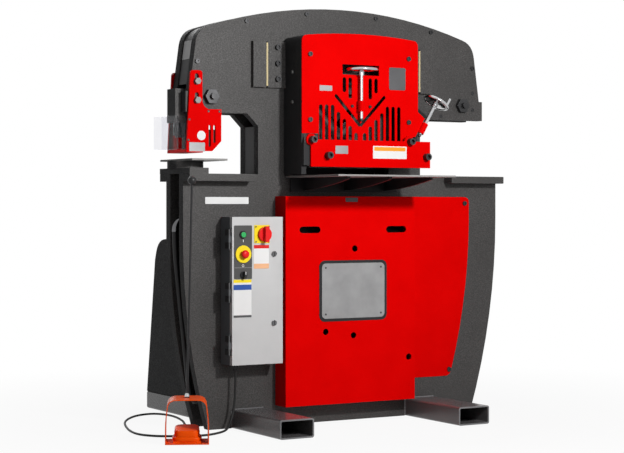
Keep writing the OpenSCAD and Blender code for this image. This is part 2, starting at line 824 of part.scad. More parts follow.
// Shear table on three curved gussets
table_x = [-270, 289];
gusset_x = [-187, 10, 208];
gusset_short = 57;
gusset_t = 12;
gusset_back = [58, 12];
module shear_table() {
    color("silver") slab(table_x, [-face_y - table_reach, -face_y], [flat_z - table_t, flat_z]);
}
module table_gussets() {
    top = flat_z - table_t;
    tip = gusset_short - face_y - table_reach;
    root = -face_y - gusset_back[1];
    color("black") {
        slab(table_x + [20, -20], [root, -face_y], [top - gusset_back[0], top]);
        for (x = gusset_x) on_yz(x - gusset_t / 2, gusset_t) polygon(concat(
            [[tip, top]], bez([tip, top - 10], [(tip + root) / 2, top - 45], [root, top - 52]),
            [[root, top]]));
    }
}

// Hold-down screws
module on_tilt() {
    translate([tilt_tip[0], tilt_y, tilt_tip[1]]) rotate([0, tilt_a, 0]) children();
}
module handwheel(d) {
    bowl = d / 2 - rim_d / 2;
    hub_r = 12;
    dish = bowl - 22;
    rotate_extrude() translate([bowl, 0]) circle(d = rim_d);
    rotate_extrude() polygon([
        [0, -24], [hub_r, -24], [hub_r, -10], [dish, -9], [bowl, -3], [bowl, 3], [dish, -4],
        [hub_r, -4], [0, -2]]);
}
module stem_bore(h) {
    translate([0, 0, -lap]) cylinder(d = stem_d + 2 * stem_fit, h = h + 2 * lap);
}
module screw_bushes() {
    bush_h = bush_z[1] - bush_z[0];
    web = 7;
    color("red") {
        difference() {
            union() {
                translate([stem_x, stem_y, bush_z[0]]) cylinder(d = bush_d, h = bush_h);
                slab([stem_x - web, stem_x + web], [stem_y + bush_d / 2 - 4, guard_y], bush_z + [4, -4]);
            }
            translate([stem_x, stem_y, bush_z[0]]) stem_bore(bush_h);
        }
        on_tilt() difference() {
            translate([0, 0, tilt_bush[0]]) cylinder(d = bush_d, h = tilt_bush[1] - tilt_bush[0]);
            stem_bore(tilt_len);
        }
    }
}
module vertical_screw() {
    stem_z = pad_tip_z + pad_h;
    color("silver") translate([stem_x, stem_y, 0]) {
        translate([0, 0, stem_z]) cylinder(d = stem_d, h = wheel_z - hub_drop - stem_z);
        translate([0, 0, wheel_z]) handwheel(wheel_d);
    }
}
module hold_pad() {
    taper_h = pad_h / 3;
    difference() {
        union() {
            cylinder(d1 = stem_d - 4, d2 = stem_d, h = taper_h);
            translate([0, 0, taper_h]) cylinder(d = stem_d, h = pad_h - taper_h - run_gap);
        }
        translate([0, 0, -lap]) cylinder(d = 3, h = pad_h / 2);
    }
}
module vertical_pad() {
    color("gray") translate([stem_x, stem_y, pad_tip_z]) hold_pad();
}
module inclined_screw() {
    spinner_h = 52;
    spinner_gap = 10;
    color("silver") on_tilt() {
        translate([0, 0, pad_h]) cylinder(d = stem_d, h = tilt_len - hub_drop - pad_h);
        translate([0, 0, tilt_len]) handwheel(tilt_wheel_d);
        translate([tilt_wheel_d / 2 - rim_d / 2, 0, tilt_len]) {
            cylinder(d = 7, h = spinner_h);
            translate([0, 0, spinner_gap]) cylinder(d = 12, h = spinner_h - spinner_gap);
        }
    }
}
module inclined_pad() {
    color("gray") on_tilt() hold_pad();
}

// Sheet covers
cover_x = [-318, 312];
cover_z = [tube_h + cover_gap, ledge_z - cover_drop];
cover_hole_d = 26;
cover_holes = [[13, 724], [-128, 382], [6, 363], [281, 262]];
cover_slots = [[-203, cover_z[1] - 138], [218, cover_z[1] - 138]];
module front_cover() {
    y0 = -face_y - cover_depth;
    color("red") difference() {
        slab(cover_x, [y0, -face_y], cover_z);
        slab(cover_x + [sheet, -sheet], [y0 + sheet, 0], cover_z + [sheet, -sheet]);
        for (p = cover_holes) to_front(p[0], y0 + 2 * sheet, p[1]) cylinder(d = cover_hole_d, h = 4 * sheet);
        on_xz(y0 - lap, 3 * sheet) for (p = cover_slots) translate(p) rotate(90) slot_2d([0, 0], 27, 72);
    }
}
wing_r = 1500;
wing_reach = 654;
wing_mid_z = cover_z[1] - 81;
wing_z0 = 161;
wing_corner = 30;
wing_top_r = 26;
wing_screws = [[wing_reach - 25, cover_z[1] - 28], [wing_reach - 108, wing_z0 + 28]];
function wing_edge(z) =
    wing_reach - wing_r + sqrt(wing_r * wing_r - pow(min(z - wing_mid_z, 0) * 0.78, 2));
module wing_cover() {
    low = wing_z0 + wing_corner;
    low_x = wing_edge(low);
    rise = cover_z[1] - wing_corner - low;
    color("red") on_xz(-face_y - sheet, sheet) polygon(concat(
        [[cover_x[1], wing_z0]], bez([low_x - 30, wing_z0], [low_x - 8, wing_z0], [low_x, low], 4),
        [for (i = [1:8]) let (z = low + rise * i / 8) [wing_edge(z), z]],
        bez([wing_reach, cover_z[1] - wing_top_r], [wing_reach, cover_z[1]],
            [wing_reach - wing_top_r, cover_z[1]], 4),
        [[cover_x[1], cover_z[1]]]));
}
rear_x = [tube_x[0] - tube_w / 2, tube_x[1] + tube_w / 2];
rear_z = [tube_h, tube_h + rear_cover_h];
rear_slope = 84;
vent_z = 240;
vent_pitch = 26;
barrel_room = 2;
function rear_side(d) = let (z0 = rear_z[0] - (d > 0 ? lap : 0), z1 = rear_z[1] - d, y1 = tube_rear - d)
    concat(
        [[face_y, z0], [y1, z0], [y1 - rear_slope, rear_z[1] - 94]],
        bez([y1 - 96, rear_z[1] - 60], [y1 - 118, z1], [tube_rear - 198, z1]),
        [[face_y, z1]]);
module rear_cover() {
    color("dimgray") difference() {
        on_yz(rear_x[0], rear_x[1] - rear_x[0]) polygon(rear_side(0));
        translate([0, -lap, 0]) on_yz(rear_x[0] + sheet, rear_x[1] - rear_x[0] - 2 * sheet)
            polygon(rear_side(sheet));
        for (i = [0:6]) on_xz(tube_rear - rear_slope - 100, 300)
            translate([0, vent_z + vent_pitch * i]) rotate(90) slot_2d([0, 0], 10, 220);
        translate([0, 0, barrel_seat]) cylinder(d = barrel_d + 2 * barrel_room, h = barrel_top - barrel_seat);
    }
}

// Power unit under the rear cover
tank_x = [tube_x[0] - 36, tube_x[1] + 34];
tank_y = [200, 600];
tank_top = 380;
tank_wall = 5;
motor_z = tank_top + 130;
motor_y = 400;
motor_d = 210;
motor_x = [-340, -60];
pump_x = [10, 150];
pump_half = 60;
shaft_d = 28;
shaft_in = [110, 40];
hose_d = 20;
hose_x = [pump_x[0] + 30, pump_x[0] + 90];
nipple_y = motor_y - pump_half - 19;
module shaft_bore(x, h) {
    to_right(x, motor_y, motor_z) cylinder(d = shaft_d + 2 * pin_fit, h = h);
}
module oil_tank() {
    inset = [tank_wall, -tank_wall];
    z = [tube_h, tank_top];
    color("gray") difference() {
        slab(tank_x, tank_y, z);
        slab(tank_x + inset, tank_y + inset, z + inset);
    }
}
module motor() {
    fin = [motor_x[1] - motor_x[0] - 60, 4, 14];
    foot_half = 90;
    color("gray") difference() {
        union() {
            to_right(motor_x[0], motor_y, motor_z) cylinder(d = motor_d, h = motor_x[1] - motor_x[0]);
            for (a = [30:20:330]) translate([motor_x[0] + 30, motor_y, motor_z]) rotate([a - 180, 0, 0])
                translate([0, -fin[1] / 2, motor_d / 2 - 5]) cube(fin);
            slab(motor_x + [40, -40], [motor_y - foot_half, motor_y + foot_half], [tank_top, tank_top + 60]);
        }
        shaft_bore(motor_x[1] - shaft_in[0] - lap, shaft_in[0] + 2 * lap);
    }
}
module motor_shaft() {
    gap = pump_x[0] - motor_x[1];
    hub_gap = 5;
    color("silver") to_right(motor_x[1], motor_y, motor_z) {
        translate([0, 0, -shaft_in[0]]) cylinder(d = shaft_d, h = shaft_in[0] + gap + shaft_in[1]);
        translate([0, 0, hub_gap]) cylinder(d = 54, h = gap - 2 * hub_gap);
    }
}
module pump_block() {
    front = motor_y - pump_half;
    color("gray") difference() {
        union() {
            slab(pump_x, [front, motor_y + pump_half], [tank_top, motor_z + pump_half]);
            for (x = hose_x) to_front(x, front + lap, motor_z)
                cylinder(d = port_d, h = front + lap - nipple_y);
        }
        shaft_bore(pump_x[0] - lap, shaft_in[1] + 2 * lap);
    }
}

// Round tube swept along a route
function normals(t, i = 0, n = [0, 0, 1]) = i == len(t) ? [] :
    let (m = unit(n - (n * t[i]) * t[i])) concat([m], normals(t, i + 1, m));
function blend(a, b, c, d, t) = 0.5 * (2 * b + (c - a) * t
    + (2 * a - 5 * b + 4 * c - d) * t * t + (3 * b - a - 3 * c + d) * t * t * t);
function spline(p, n) = let (k = len(p) - 1) concat(
    [for (i = [0:k - 1], j = [0:n - 1]) blend(p[max(i - 1, 0)], p[i], p[i + 1], p[min(i + 2, k)], j / n)],
    [p[k]]);
module swept_tube(p, d, sides = 10) {
    k = len(p);
    t = [for (i = [0:k - 1]) unit(p[min(i + 1, k - 1)] - p[max(i - 1, 0)])];
    n = normals(t, 0, unit([0.1, 0.2, 1]));
    points = [for (i = [0:k - 1], j = [0:sides - 1]) let (a = 360 * j / sides)
        p[i] + d / 2 * (cos(a) * n[i] + sin(a) * cross(t[i], n[i]))];
    walls = [for (i = [0:k - 2], j = [0:sides - 1])
        let (q = (j + 1) % sides, low = i * sides, high = low + sides)
        each [[low + j, high + q, low + q], [low + j, high + j, high + q]]];
    end = (k - 1) * sides;
    caps = [for (j = [1:sides - 2]) each [[0, j, j + 1], [end, end + j + 1, end + j]]];
    polyhedron(points, concat(walls, caps));
}
module hydraulic_hoses() {
    lead = 14;
    mid = (nipple_y + port_y) / 2;
    color("black") for (i = [0, 1]) {
        x = hose_x[i];
        rise = port_z[i] - motor_z;
        swept_tube(spline([
            [x, nipple_y, motor_z], [x, nipple_y - lead, motor_z], [x, nipple_y - 2 * lead, motor_z],
            [x, mid + 25, motor_z + rise * 0.2], [(x + port_x) / 2, mid, motor_z + rise / 2],
            [port_x, mid - 25, motor_z + rise * 0.8], [port_x, port_y + 2 * lead, port_z[i]],
            [port_x, port_y + lead, port_z[i]], [port_x, port_y, port_z[i]]], 3), hose_d, 8);
    }
}

// Control box on the front plate
module control_box() {
    x = [box_x, box_x + box_w];
    z = [box_z, box_top];
    inset = [box_wall, -box_wall];
    color("dimgray") difference() {
        slab(x, [box_front, -face_y], z);
        slab(x + inset, [box_front - lap, -face_y - box_wall], z + inset);
        translate([gland_at[0], gland_at[1], box_z - lap])
            cylinder(d = gland_stem_d + 2 * seat, h = box_wall + 2 * lap);
    }
}
module knob_holes(proud) {
    for (k = [[start_at, start_d], [stop_at, stop_stem_d], [select_at, knob_stem_d],
              [isolator_at, knob_stem_d]])
        to_front(k[0][0], door_back, k[0][1]) cylinder(d = k[1] + 2 * knob_fit, h = door_t + proud);
}
module control_door() {
    x = [box_x, box_x + box_w];
    z = [box_z, box_top];
    inset = [box_wall, -box_wall];
    color("lightgray") difference() {
        union() {
            difference() {
                slab(x, [door_face, door_back], z);
                slab(x + inset, [door_face + box_wall, door_back + lap], z + inset);
            }
            for (h = hinge_z) translate([0, 0, h - knuckle_h / 2]) {
                translate([hinge_x, hinge_y, 0]) cylinder(d = knuckle_d, h = knuckle_h);
                slab([hinge_x, box_x + lap], [hinge_y - 3, hinge_y + 3], [0, knuckle_h]);
            }
        }
        for (h = hinge_z) translate([hinge_x, hinge_y, h - knuckle_h])
            cylinder(d = hinge_pin_d + 2 * pin_fit, h = 2 * knuckle_h);
        knob_holes(lap);
        for (h = latch_z) to_front(latch_x, door_back, h)
            cylinder(d = latch_stem_d + 2 * knob_fit, h = door_t + lap);
    }
}
module door_hinges() {
    leaf_h = [run_gap, knuckle_h - 2 * run_gap];
    leaf_y = [box_front + 2, box_front + 30];
    color("dimgray") for (h = hinge_z) {
        translate([hinge_x, hinge_y, h - 1.5 * knuckle_h]) cylinder(d = hinge_pin_d, h = 3 * knuckle_h);
        for (s = [-1, 1]) translate([0, 0, h + s * knuckle_h - knuckle_h / 2]) {
            translate([hinge_x, hinge_y, run_gap]) cylinder(d = knuckle_d, h = knuckle_h - 2 * run_gap);
            slab([hinge_x + 1, box_x - 1.5], [hinge_y, leaf_y[0] + 3], leaf_h);
            slab([hinge_x + 1, box_x], leaf_y, leaf_h);
        }
    }
}
module latch(z) {
    head = [22, 6];
    slot = [3, 18, 3];
    face = door_face - run_gap;
    color("silver") difference() {
        union() {
            to_front(latch_x, face, z) cylinder(d = head[0], h = head[1]);
            to_front(latch_x, door_face + 14, z) cylinder(d = latch_stem_d, h = 15);
            slab([latch_x - 8, latch_x + 8], [door_face + 3, door_face + 6], [z - 6, z + 22]);
        }
        slab([latch_x - slot[0] / 2, latch_x + slot[0] / 2], [face - head[1] - lap, face - slot[2]],
            [z - slot[1] / 2, z + slot[1] / 2]);
    }
}
module upper_latch() latch(latch_z[0]);
module lower_latch() latch(latch_z[1]);
module legend_panel() {
    color("black") difference() {
        on_xz(door_face - panel_t, panel_t) rounded_2d(panel_x, panel_z, 4);
        knob_holes(panel_t + lap);
    }
}
module yellow_plates() {
    p = isolator_plate;
    color("gold") difference() {
        union() {
            to_front(stop_at[0], door_face - panel_t, stop_at[1]) cylinder(d = 70, h = ring_t);
            on_xz(door_face - panel_t, panel_t) rounded_2d([p[0], p[1]], [p[2], p[3]], 3);
        }
        knob_holes(panel_t + ring_t + lap);
    }
}
module disconnect_handle() {
    base_t = 12;
    stem_in = 12;
    y = door_face - panel_t - run_gap;
    color("red") {
        to_front(isolator_at[0], door_face + stem_in, isolator_at[1])
            cylinder(d = knob_stem_d, h = stem_in + panel_t + lap);
        to_front(isolator_at[0], y, isolator_at[1]) cylinder(d = 58, h = base_t);
        to_front(isolator_at[0], y - base_t + lap, isolator_at[1])
            linear_extrude(19) rounded_2d([-9, 9], [-32, 32], 6);
    }
}
module start_button() {
    stem_in = 8;
    color("green") to_front(start_at[0], door_face + stem_in, start_at[1])
        cylinder(d = start_d, h = stem_in + panel_t + start_travel + 5);
}
module estop_button() {
    cap = [34, 42, 26];
    cap_h = 6;
    stem_in = 8;
    stem_out = panel_t + ring_t + stop_travel + 3;
    color("red") {
        to_front(stop_at[0], door_face + stem_in, stop_at[1])
            cylinder(d = stop_stem_d, h = stem_in + stem_out);
        to_front(stop_at[0], door_face - panel_t - ring_t - stop_travel - lap, stop_at[1]) {
            cylinder(d1 = cap[0], d2 = cap[1], h = cap_h);
            translate([0, 0, cap_h]) cylinder(d = cap[1], h = cap_h);
            translate([0, 0, 2 * cap_h]) cylinder(d1 = cap[1], d2 = cap[2], h = cap_h);
        }
    }
}
module selector_knob() {
    base_t = 6;
    stem_in = 10;
    y = door_face - panel_t - run_gap;
    color("black") {
        to_front(select_at[0], door_face + stem_in, select_at[1])
            cylinder(d = knob_stem_d, h = stem_in + panel_t + 2);
        to_front(select_at[0], y, select_at[1]) cylinder(d = 30, h = base_t);
        to_front(select_at[0], y - base_t + lap, select_at[1])
            linear_extrude(15) rounded_2d([-5, 5], [-14, 14], 4);
    }
}
module cord_gland() {
    nose_h = 8;
    nut_h = 10;
    color("black") translate([gland_at[0], gland_at[1], box_z - gland_len]) difference() {
        union() {
            cylinder(d1 = cord_d + 6, d2 = 20, h = nose_h);
            translate([0, 0, nose_h]) hex_bar(24, nut_h);
            translate([0, 0, nose_h + nut_h]) cylinder(d = 22, h = gland_len - nose_h - nut_h);
            translate([0, 0, gland_len - lap]) cylinder(d = gland_stem_d, h = 9);
        }
        translate([0, 0, nose_h - 2]) cylinder(d = cord_d, h = 2 * gland_len);
    }
}

// Foot switch
module pedal_frame() {
    translate([pedal_at[0], pedal_at[1], 0]) rotate([0, 0, -pedal_yaw]) children();
}
hoop_r = 38;
hoop_lean = 6;
function hoop(d) = let (out = pedal_w / 2 - d, top = out - hoop_lean) concat(
    [[out, 0]],
    bez([out, pedal_h - 3 * hoop_r], [out, pedal_h - 2 * hoop_r], [top, pedal_h - hoop_r], 3),
    bez([top, pedal_h - hoop_r], [top, pedal_h - d], [pedal_w / 2 - hoop_lean - hoop_r, pedal_h - d]));
module hoop_2d(d) {
    polygon(concat(hoop(d), flip(hoop(d))));
}
module pedal_guard() {
    color("orangered") pedal_frame() on_xz(0, pedal_d) difference() {
        hoop_2d(0);
        difference() {
            hoop_2d(pedal_t);
            translate([-pedal_w, -lap]) square([2 * pedal_w, pedal_t + lap]);
        }
    }
}
tread_half = 50;
tread_wall = 5;
tread_y = [26, 140];
tread_z = [22, 58, 72];
switch_base = 6;
module pedal_switch() {
    inner = tread_half - tread_wall - 4;
    floor_z = pedal_t + switch_base - lap;
    color("orangered") pedal_frame() {
        slab([-tread_half - 3, tread_half + 3], tread_y + [-4, 3], [pedal_t, pedal_t + switch_base]);
        slab([-inner, inner], tread_y + [30, -6], [floor_z, tread_z[0]]);
        slab([-inner, inner], [pivot_at[0] - 8, pivot_at[0] + 4], [floor_z, pivot_at[1]]);
        to_right(1 - tread_half, pivot_at[0], pivot_at[1]) cylinder(d = pivot_d, h = 2 * tread_half - 2);
        to_back(0, tread_y[1] - 10, pedal_lead[1]) cylinder(d = 14, h = pedal_lead[0] - tread_y[1] + 10);
    }
}
module tread_layer(inset, y, z, d) {
    slab([inset + d - tread_half, tread_half - inset - d], y, z);
}
module tread_form(d) {
    y = tread_y + [d, -d];
    low = [tread_z[0] - d, tread_z[0] + 1];
    hull() {
        tread_layer(0, y + [8, 0], low, d);
        tread_layer(14, [y[0], y[0] + 2], low, d);
        tread_layer(6, [tread_y[1] - 30, y[1]], [tread_z[2] - 2 - d, tread_z[2] - d], d);
        tread_layer(10, [y[0] + 12, y[0] + 14], [tread_z[1] - 2 - d, tread_z[1] - d], d);
    }
}
module treadle() {
    notch_half = 10;
    color("orangered") pedal_frame() difference() {
        tread_form(0);
        tread_form(tread_wall);
        to_right(-tread_half - lap, pivot_at[0], pivot_at[1])
            cylinder(d = pivot_d + 2 * pin_fit, h = 2 * (tread_half + lap));
        slab([-notch_half, notch_half], [tread_y[1] - 12, tread_y[1] + 10],
            [pedal_lead[1] - 8, pedal_lead[1] + 18]);
    }
}
module pedal_rod() {
    foot_h = 4;
    rod_lean = 1.3;
    color("black") pedal_frame() translate([0, pedal_d / 2, pedal_h]) {
        cylinder(d = 20, h = foot_h);
        rotate([0, rod_lean, 0]) {
            translate([0, 0, foot_h - lap]) cylinder(d = 9, h = rod_h - foot_h + lap);
            translate([0, 0, rod_h]) sphere(d = 33);
        }
    }
}
module pedal_cord() {
    step = [pedal_out[0], pedal_out[1], 0];
    lead = [pedal_at[0], pedal_at[1], pedal_lead[1]] + pedal_lead[0] * step;
    top = [gland_at[0], gland_at[1], box_z - gland_len];
    start = [lead, lead + 25 * step, lead + 70 * step - [0, 0, 1]];
    color("black") swept_tube(spline(concat(start, cord_route, [top - [0, 0, 30], top]), 3), cord_d);
}

front_frame_plate();
rear_frame_plate();
frame_spacers();
inner_covers();
left_fork_tube();
right_fork_tube();
table_bars();
frame_bolts();
gib_screws();
lower_blades();
die_base();
punch_die();
die_table();
ram_beam();
upper_blades();
punch_coupling();
punch();
pull_yoke();
cylinder_rod();
cylinder_barrel();
stripper_front_plate();
stripper_rear_plate();
clear_guard();
shear_housing();
gib_plates();
wear_strips();
upper_guard();
lower_guard();
shear_table();
table_gussets();
screw_bushes();
vertical_screw();
vertical_pad();
inclined_screw();
inclined_pad();
front_cover();
wing_cover();
rear_cover();
oil_tank();
motor();
motor_shaft();
pump_block();
hydraulic_hoses();
control_box();
control_door();
door_hinges();
upper_latch();
lower_latch();
legend_panel();
yellow_plates();
disconnect_handle();
start_button();
estop_button();
selector_knob();
cord_gland();
pedal_guard();
pedal_switch();
treadle();
pedal_rod();
pedal_cord();
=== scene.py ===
import json
import math

import bmesh
import bpy
from mathutils import Matrix, Vector


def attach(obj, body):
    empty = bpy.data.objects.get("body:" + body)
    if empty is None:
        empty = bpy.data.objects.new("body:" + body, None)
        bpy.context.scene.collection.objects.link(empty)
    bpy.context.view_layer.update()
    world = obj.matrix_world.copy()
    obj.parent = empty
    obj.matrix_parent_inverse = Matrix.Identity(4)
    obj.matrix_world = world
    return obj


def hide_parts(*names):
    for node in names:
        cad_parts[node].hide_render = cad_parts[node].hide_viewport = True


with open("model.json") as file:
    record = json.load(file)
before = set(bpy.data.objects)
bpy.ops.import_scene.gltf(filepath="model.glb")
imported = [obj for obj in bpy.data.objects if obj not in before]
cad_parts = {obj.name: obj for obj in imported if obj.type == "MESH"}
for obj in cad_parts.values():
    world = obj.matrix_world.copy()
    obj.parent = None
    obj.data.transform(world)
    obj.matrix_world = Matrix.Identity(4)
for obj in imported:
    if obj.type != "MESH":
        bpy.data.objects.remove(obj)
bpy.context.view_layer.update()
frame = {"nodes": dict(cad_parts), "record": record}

MM = 0.001
SCENE = bpy.context.scene
RECORD = frame["record"]
NODE_SLOT = {row["node"]: row["material_slot"] for row in RECORD["subparts"]}
NODE_BODY = {n: b for b, names in RECORD["behaviour"]["bodies"].items() for n in names}
TO_FRONT = Matrix.Rotation(math.radians(90), 4, "X")
TO_BACK = Matrix.Rotation(math.radians(-90), 4, "X")
TO_LEFT = Matrix.Rotation(math.radians(-90), 4, "Y")


def mm(*values):
    return Vector(values) * MM


# Camera at the photograph's viewing angle
camera_data = bpy.data.cameras.new("camera")
camera_data.sensor_fit = "HORIZONTAL"
camera_data.sensor_width = 36.0
camera_data.lens = 97.45
camera_data.shift_y = -0.0298
camera = bpy.data.objects.new("camera", camera_data)
camera.location = (-3.685, -6.1519, 0.8931)
camera.rotation_euler = (math.radians(90), 0, math.radians(-30.25))
SCENE.collection.objects.link(camera)
SCENE.camera = camera
SCENE.view_settings.view_transform = "Standard"


# Node helpers for the materials, whose sizes are in features per metre
def wire(tree, source, target):
    tree.links.new(source, target)


def texture_place(tree, stretch=(1, 1, 1)):
    place = tree.nodes.new("ShaderNodeTexCoord")
    mapping = tree.nodes.new("ShaderNodeMapping")
    mapping.inputs["Scale"].default_value = stretch
    wire(tree, place.outputs["Object"], mapping.inputs["Vector"])
    return mapping.outputs["Vector"]


def noise(tree, scale, detail=2.0, stretch=(1, 1, 1)):
    node = tree.nodes.new("ShaderNodeTexNoise")
    node.inputs["Scale"].default_value = scale
    node.inputs["Detail"].default_value = detail
    wire(tree, texture_place(tree, stretch), node.inputs["Vector"])
    return node.outputs[0]


def cells(tree, scale):
    node = tree.nodes.new("ShaderNodeTexVoronoi")
    node.feature = "SMOOTH_F1"
    node.inputs["Scale"].default_value = scale
    wire(tree, texture_place(tree), node.inputs["Vector"])
    return node.outputs["Distance"]


def spread(tree, value, source, target):
    node = tree.nodes.new("ShaderNodeMapRange")
    for name, number in zip(("From Min", "From Max", "To Min", "To Max"), source + target):
        node.inputs[name].default_value = number
    wire(tree, value, node.inputs["Value"])
    return node.outputs["Result"]


def blend_colour(tree, factor, first, second):
    node = tree.nodes.new("ShaderNodeMix")
    node.data_type = "RGBA"
    wire(tree, factor, node.inputs[0])
    for socket, value in ((node.inputs[6], first), (node.inputs[7], second)):
        if isinstance(value, tuple):
            socket.default_value = value + (1,)
        else:
            wire(tree, value, socket)
    return node.outputs[2]


def times(tree, first, second):
    node = tree.nodes.new("ShaderNodeMath")
    node.operation = "MULTIPLY"
    wire(tree, first, node.inputs[0])
    wire(tree, second, node.inputs[1])
    return node.outputs[0]


def edge_mask(tree, radius):
    """One along the edges, where paint wears."""
    bevel = tree.nodes.new("ShaderNodeBevel")
    bevel.inputs["Radius"].default_value = radius
    geometry = tree.nodes.new("ShaderNodeNewGeometry")
    dot = tree.nodes.new("ShaderNodeVectorMath")
    dot.operation = "DOT_PRODUCT"
    wire(tree, bevel.outputs["Normal"], dot.inputs[0])
    wire(tree, geometry.outputs["Normal"], dot.inputs[1])
    return spread(tree, dot.outputs["Value"], (0.99, 0.86), (0.0, 1.0))


def relief(tree, shader, height, strength, depth):
    node = tree.nodes.new("ShaderNodeBump")
    node.inputs["Strength"].default_value = strength
    node.inputs["Distance"].default_value = depth
    wire(tree, height, node.inputs["Height"])
    wire(tree, node.outputs["Normal"], shader.inputs["Normal"])


def new_material(name, **constants):
    material = bpy.data.materials.new(name)
    material.use_nodes = True
    tree = material.node_tree
    shader = tree.nodes["Principled BSDF"]
    for socket, value in constants.items():
        shader.inputs[socket.replace("_", " ")].default_value = value
    return material, tree, shader


def painted(name, low, high, rough, grain=260, bump=0.12, level=0.25, tint=None, wear=None):
    material, tree, shader = new_material(name, Specular_IOR_Level=level)
    if tint:
        shader.inputs["Specular Tint"].default_value = tint + (1,)
    broad = spread(tree, noise(tree, 7.0, 4.0), (0.3, 0.7), (0.0, 1.0))
    base = blend_colour(tree, broad, low, high)
    if wear:
        patchy = spread(tree, noise(tree, 60.0, 3.0), (0.42, 0.7), (0.0, 0.8))
        base = blend_colour(tree, times(tree, edge_mask(tree, 0.0022), patchy), base, wear)
    wire(tree, base, shader.inputs["Base Color"])
    fine = noise(tree, grain, 2.0)
    wire(tree, spread(tree, fine, (0.3, 0.7), rough), shader.inputs["Roughness"])
    relief(tree, shader, fine, bump, 0.0006)
    return material


def hammertone(name, low, high, wear, level=0.27):
    material, tree, shader = new_material(name, Specular_IOR_Level=level)
    pits = cells(tree, 150.0)
    fleck = spread(tree, noise(tree, 230.0, 3.0), (0.42, 0.66), (0.0, 1.0))
    broad = spread(tree, noise(tree, 5.0, 4.0), (0.3, 0.7), (0.0, 0.45))
    base = blend_colour(tree, fleck, low, high)
    base = blend_colour(tree, broad, base, tuple(0.8 * c for c in low))
    worn = times(tree, edge_mask(tree, 0.003), spread(tree, noise(tree, 45.0, 3.0), (0.35, 0.65), (0.1, 0.8)))
    base = blend_colour(tree, worn, base, wear)
    wire(tree, base, shader.inputs["Base Color"])
    wire(tree, spread(tree, fleck, (0.0, 1.0), (0.54, 0.46)), shader.inputs["Roughness"])
    relief(tree, shader, pits, 0.35, 0.0012)
    return material


def metal(name, low, high, rough, stretch=(1, 1, 1), grain=180, metallic=1.0, bump=0.05):
    material, tree, shader = new_material(name, Metallic=metallic)
    smudge = spread(tree, noise(tree, 14.0, 5.0), (0.3, 0.7), (0.0, 1.0))
    wire(tree, blend_colour(tree, smudge, low, high), shader.inputs["Base Color"])
    fine = noise(tree, grain, 4.0, stretch)
    wire(tree, spread(tree, fine, (0.3, 0.7), rough), shader.inputs["Roughness"])
    relief(tree, shader, fine, bump, 0.0004)
    return material


def clear(name):
    material, tree, shader = new_material(name, Transmission_Weight=1.0, IOR=1.12)
    haze = noise(tree, 30.0, 4.0)
    tint = blend_colour(tree, haze, (0.84, 0.84, 0.87), (0.90, 0.90, 0.92))
    wire(tree, tint, shader.inputs["Base Color"])
    wire(tree, spread(tree, haze, (0.3, 0.7), (0.02, 0.09)), shader.inputs["Roughness"])
    return material


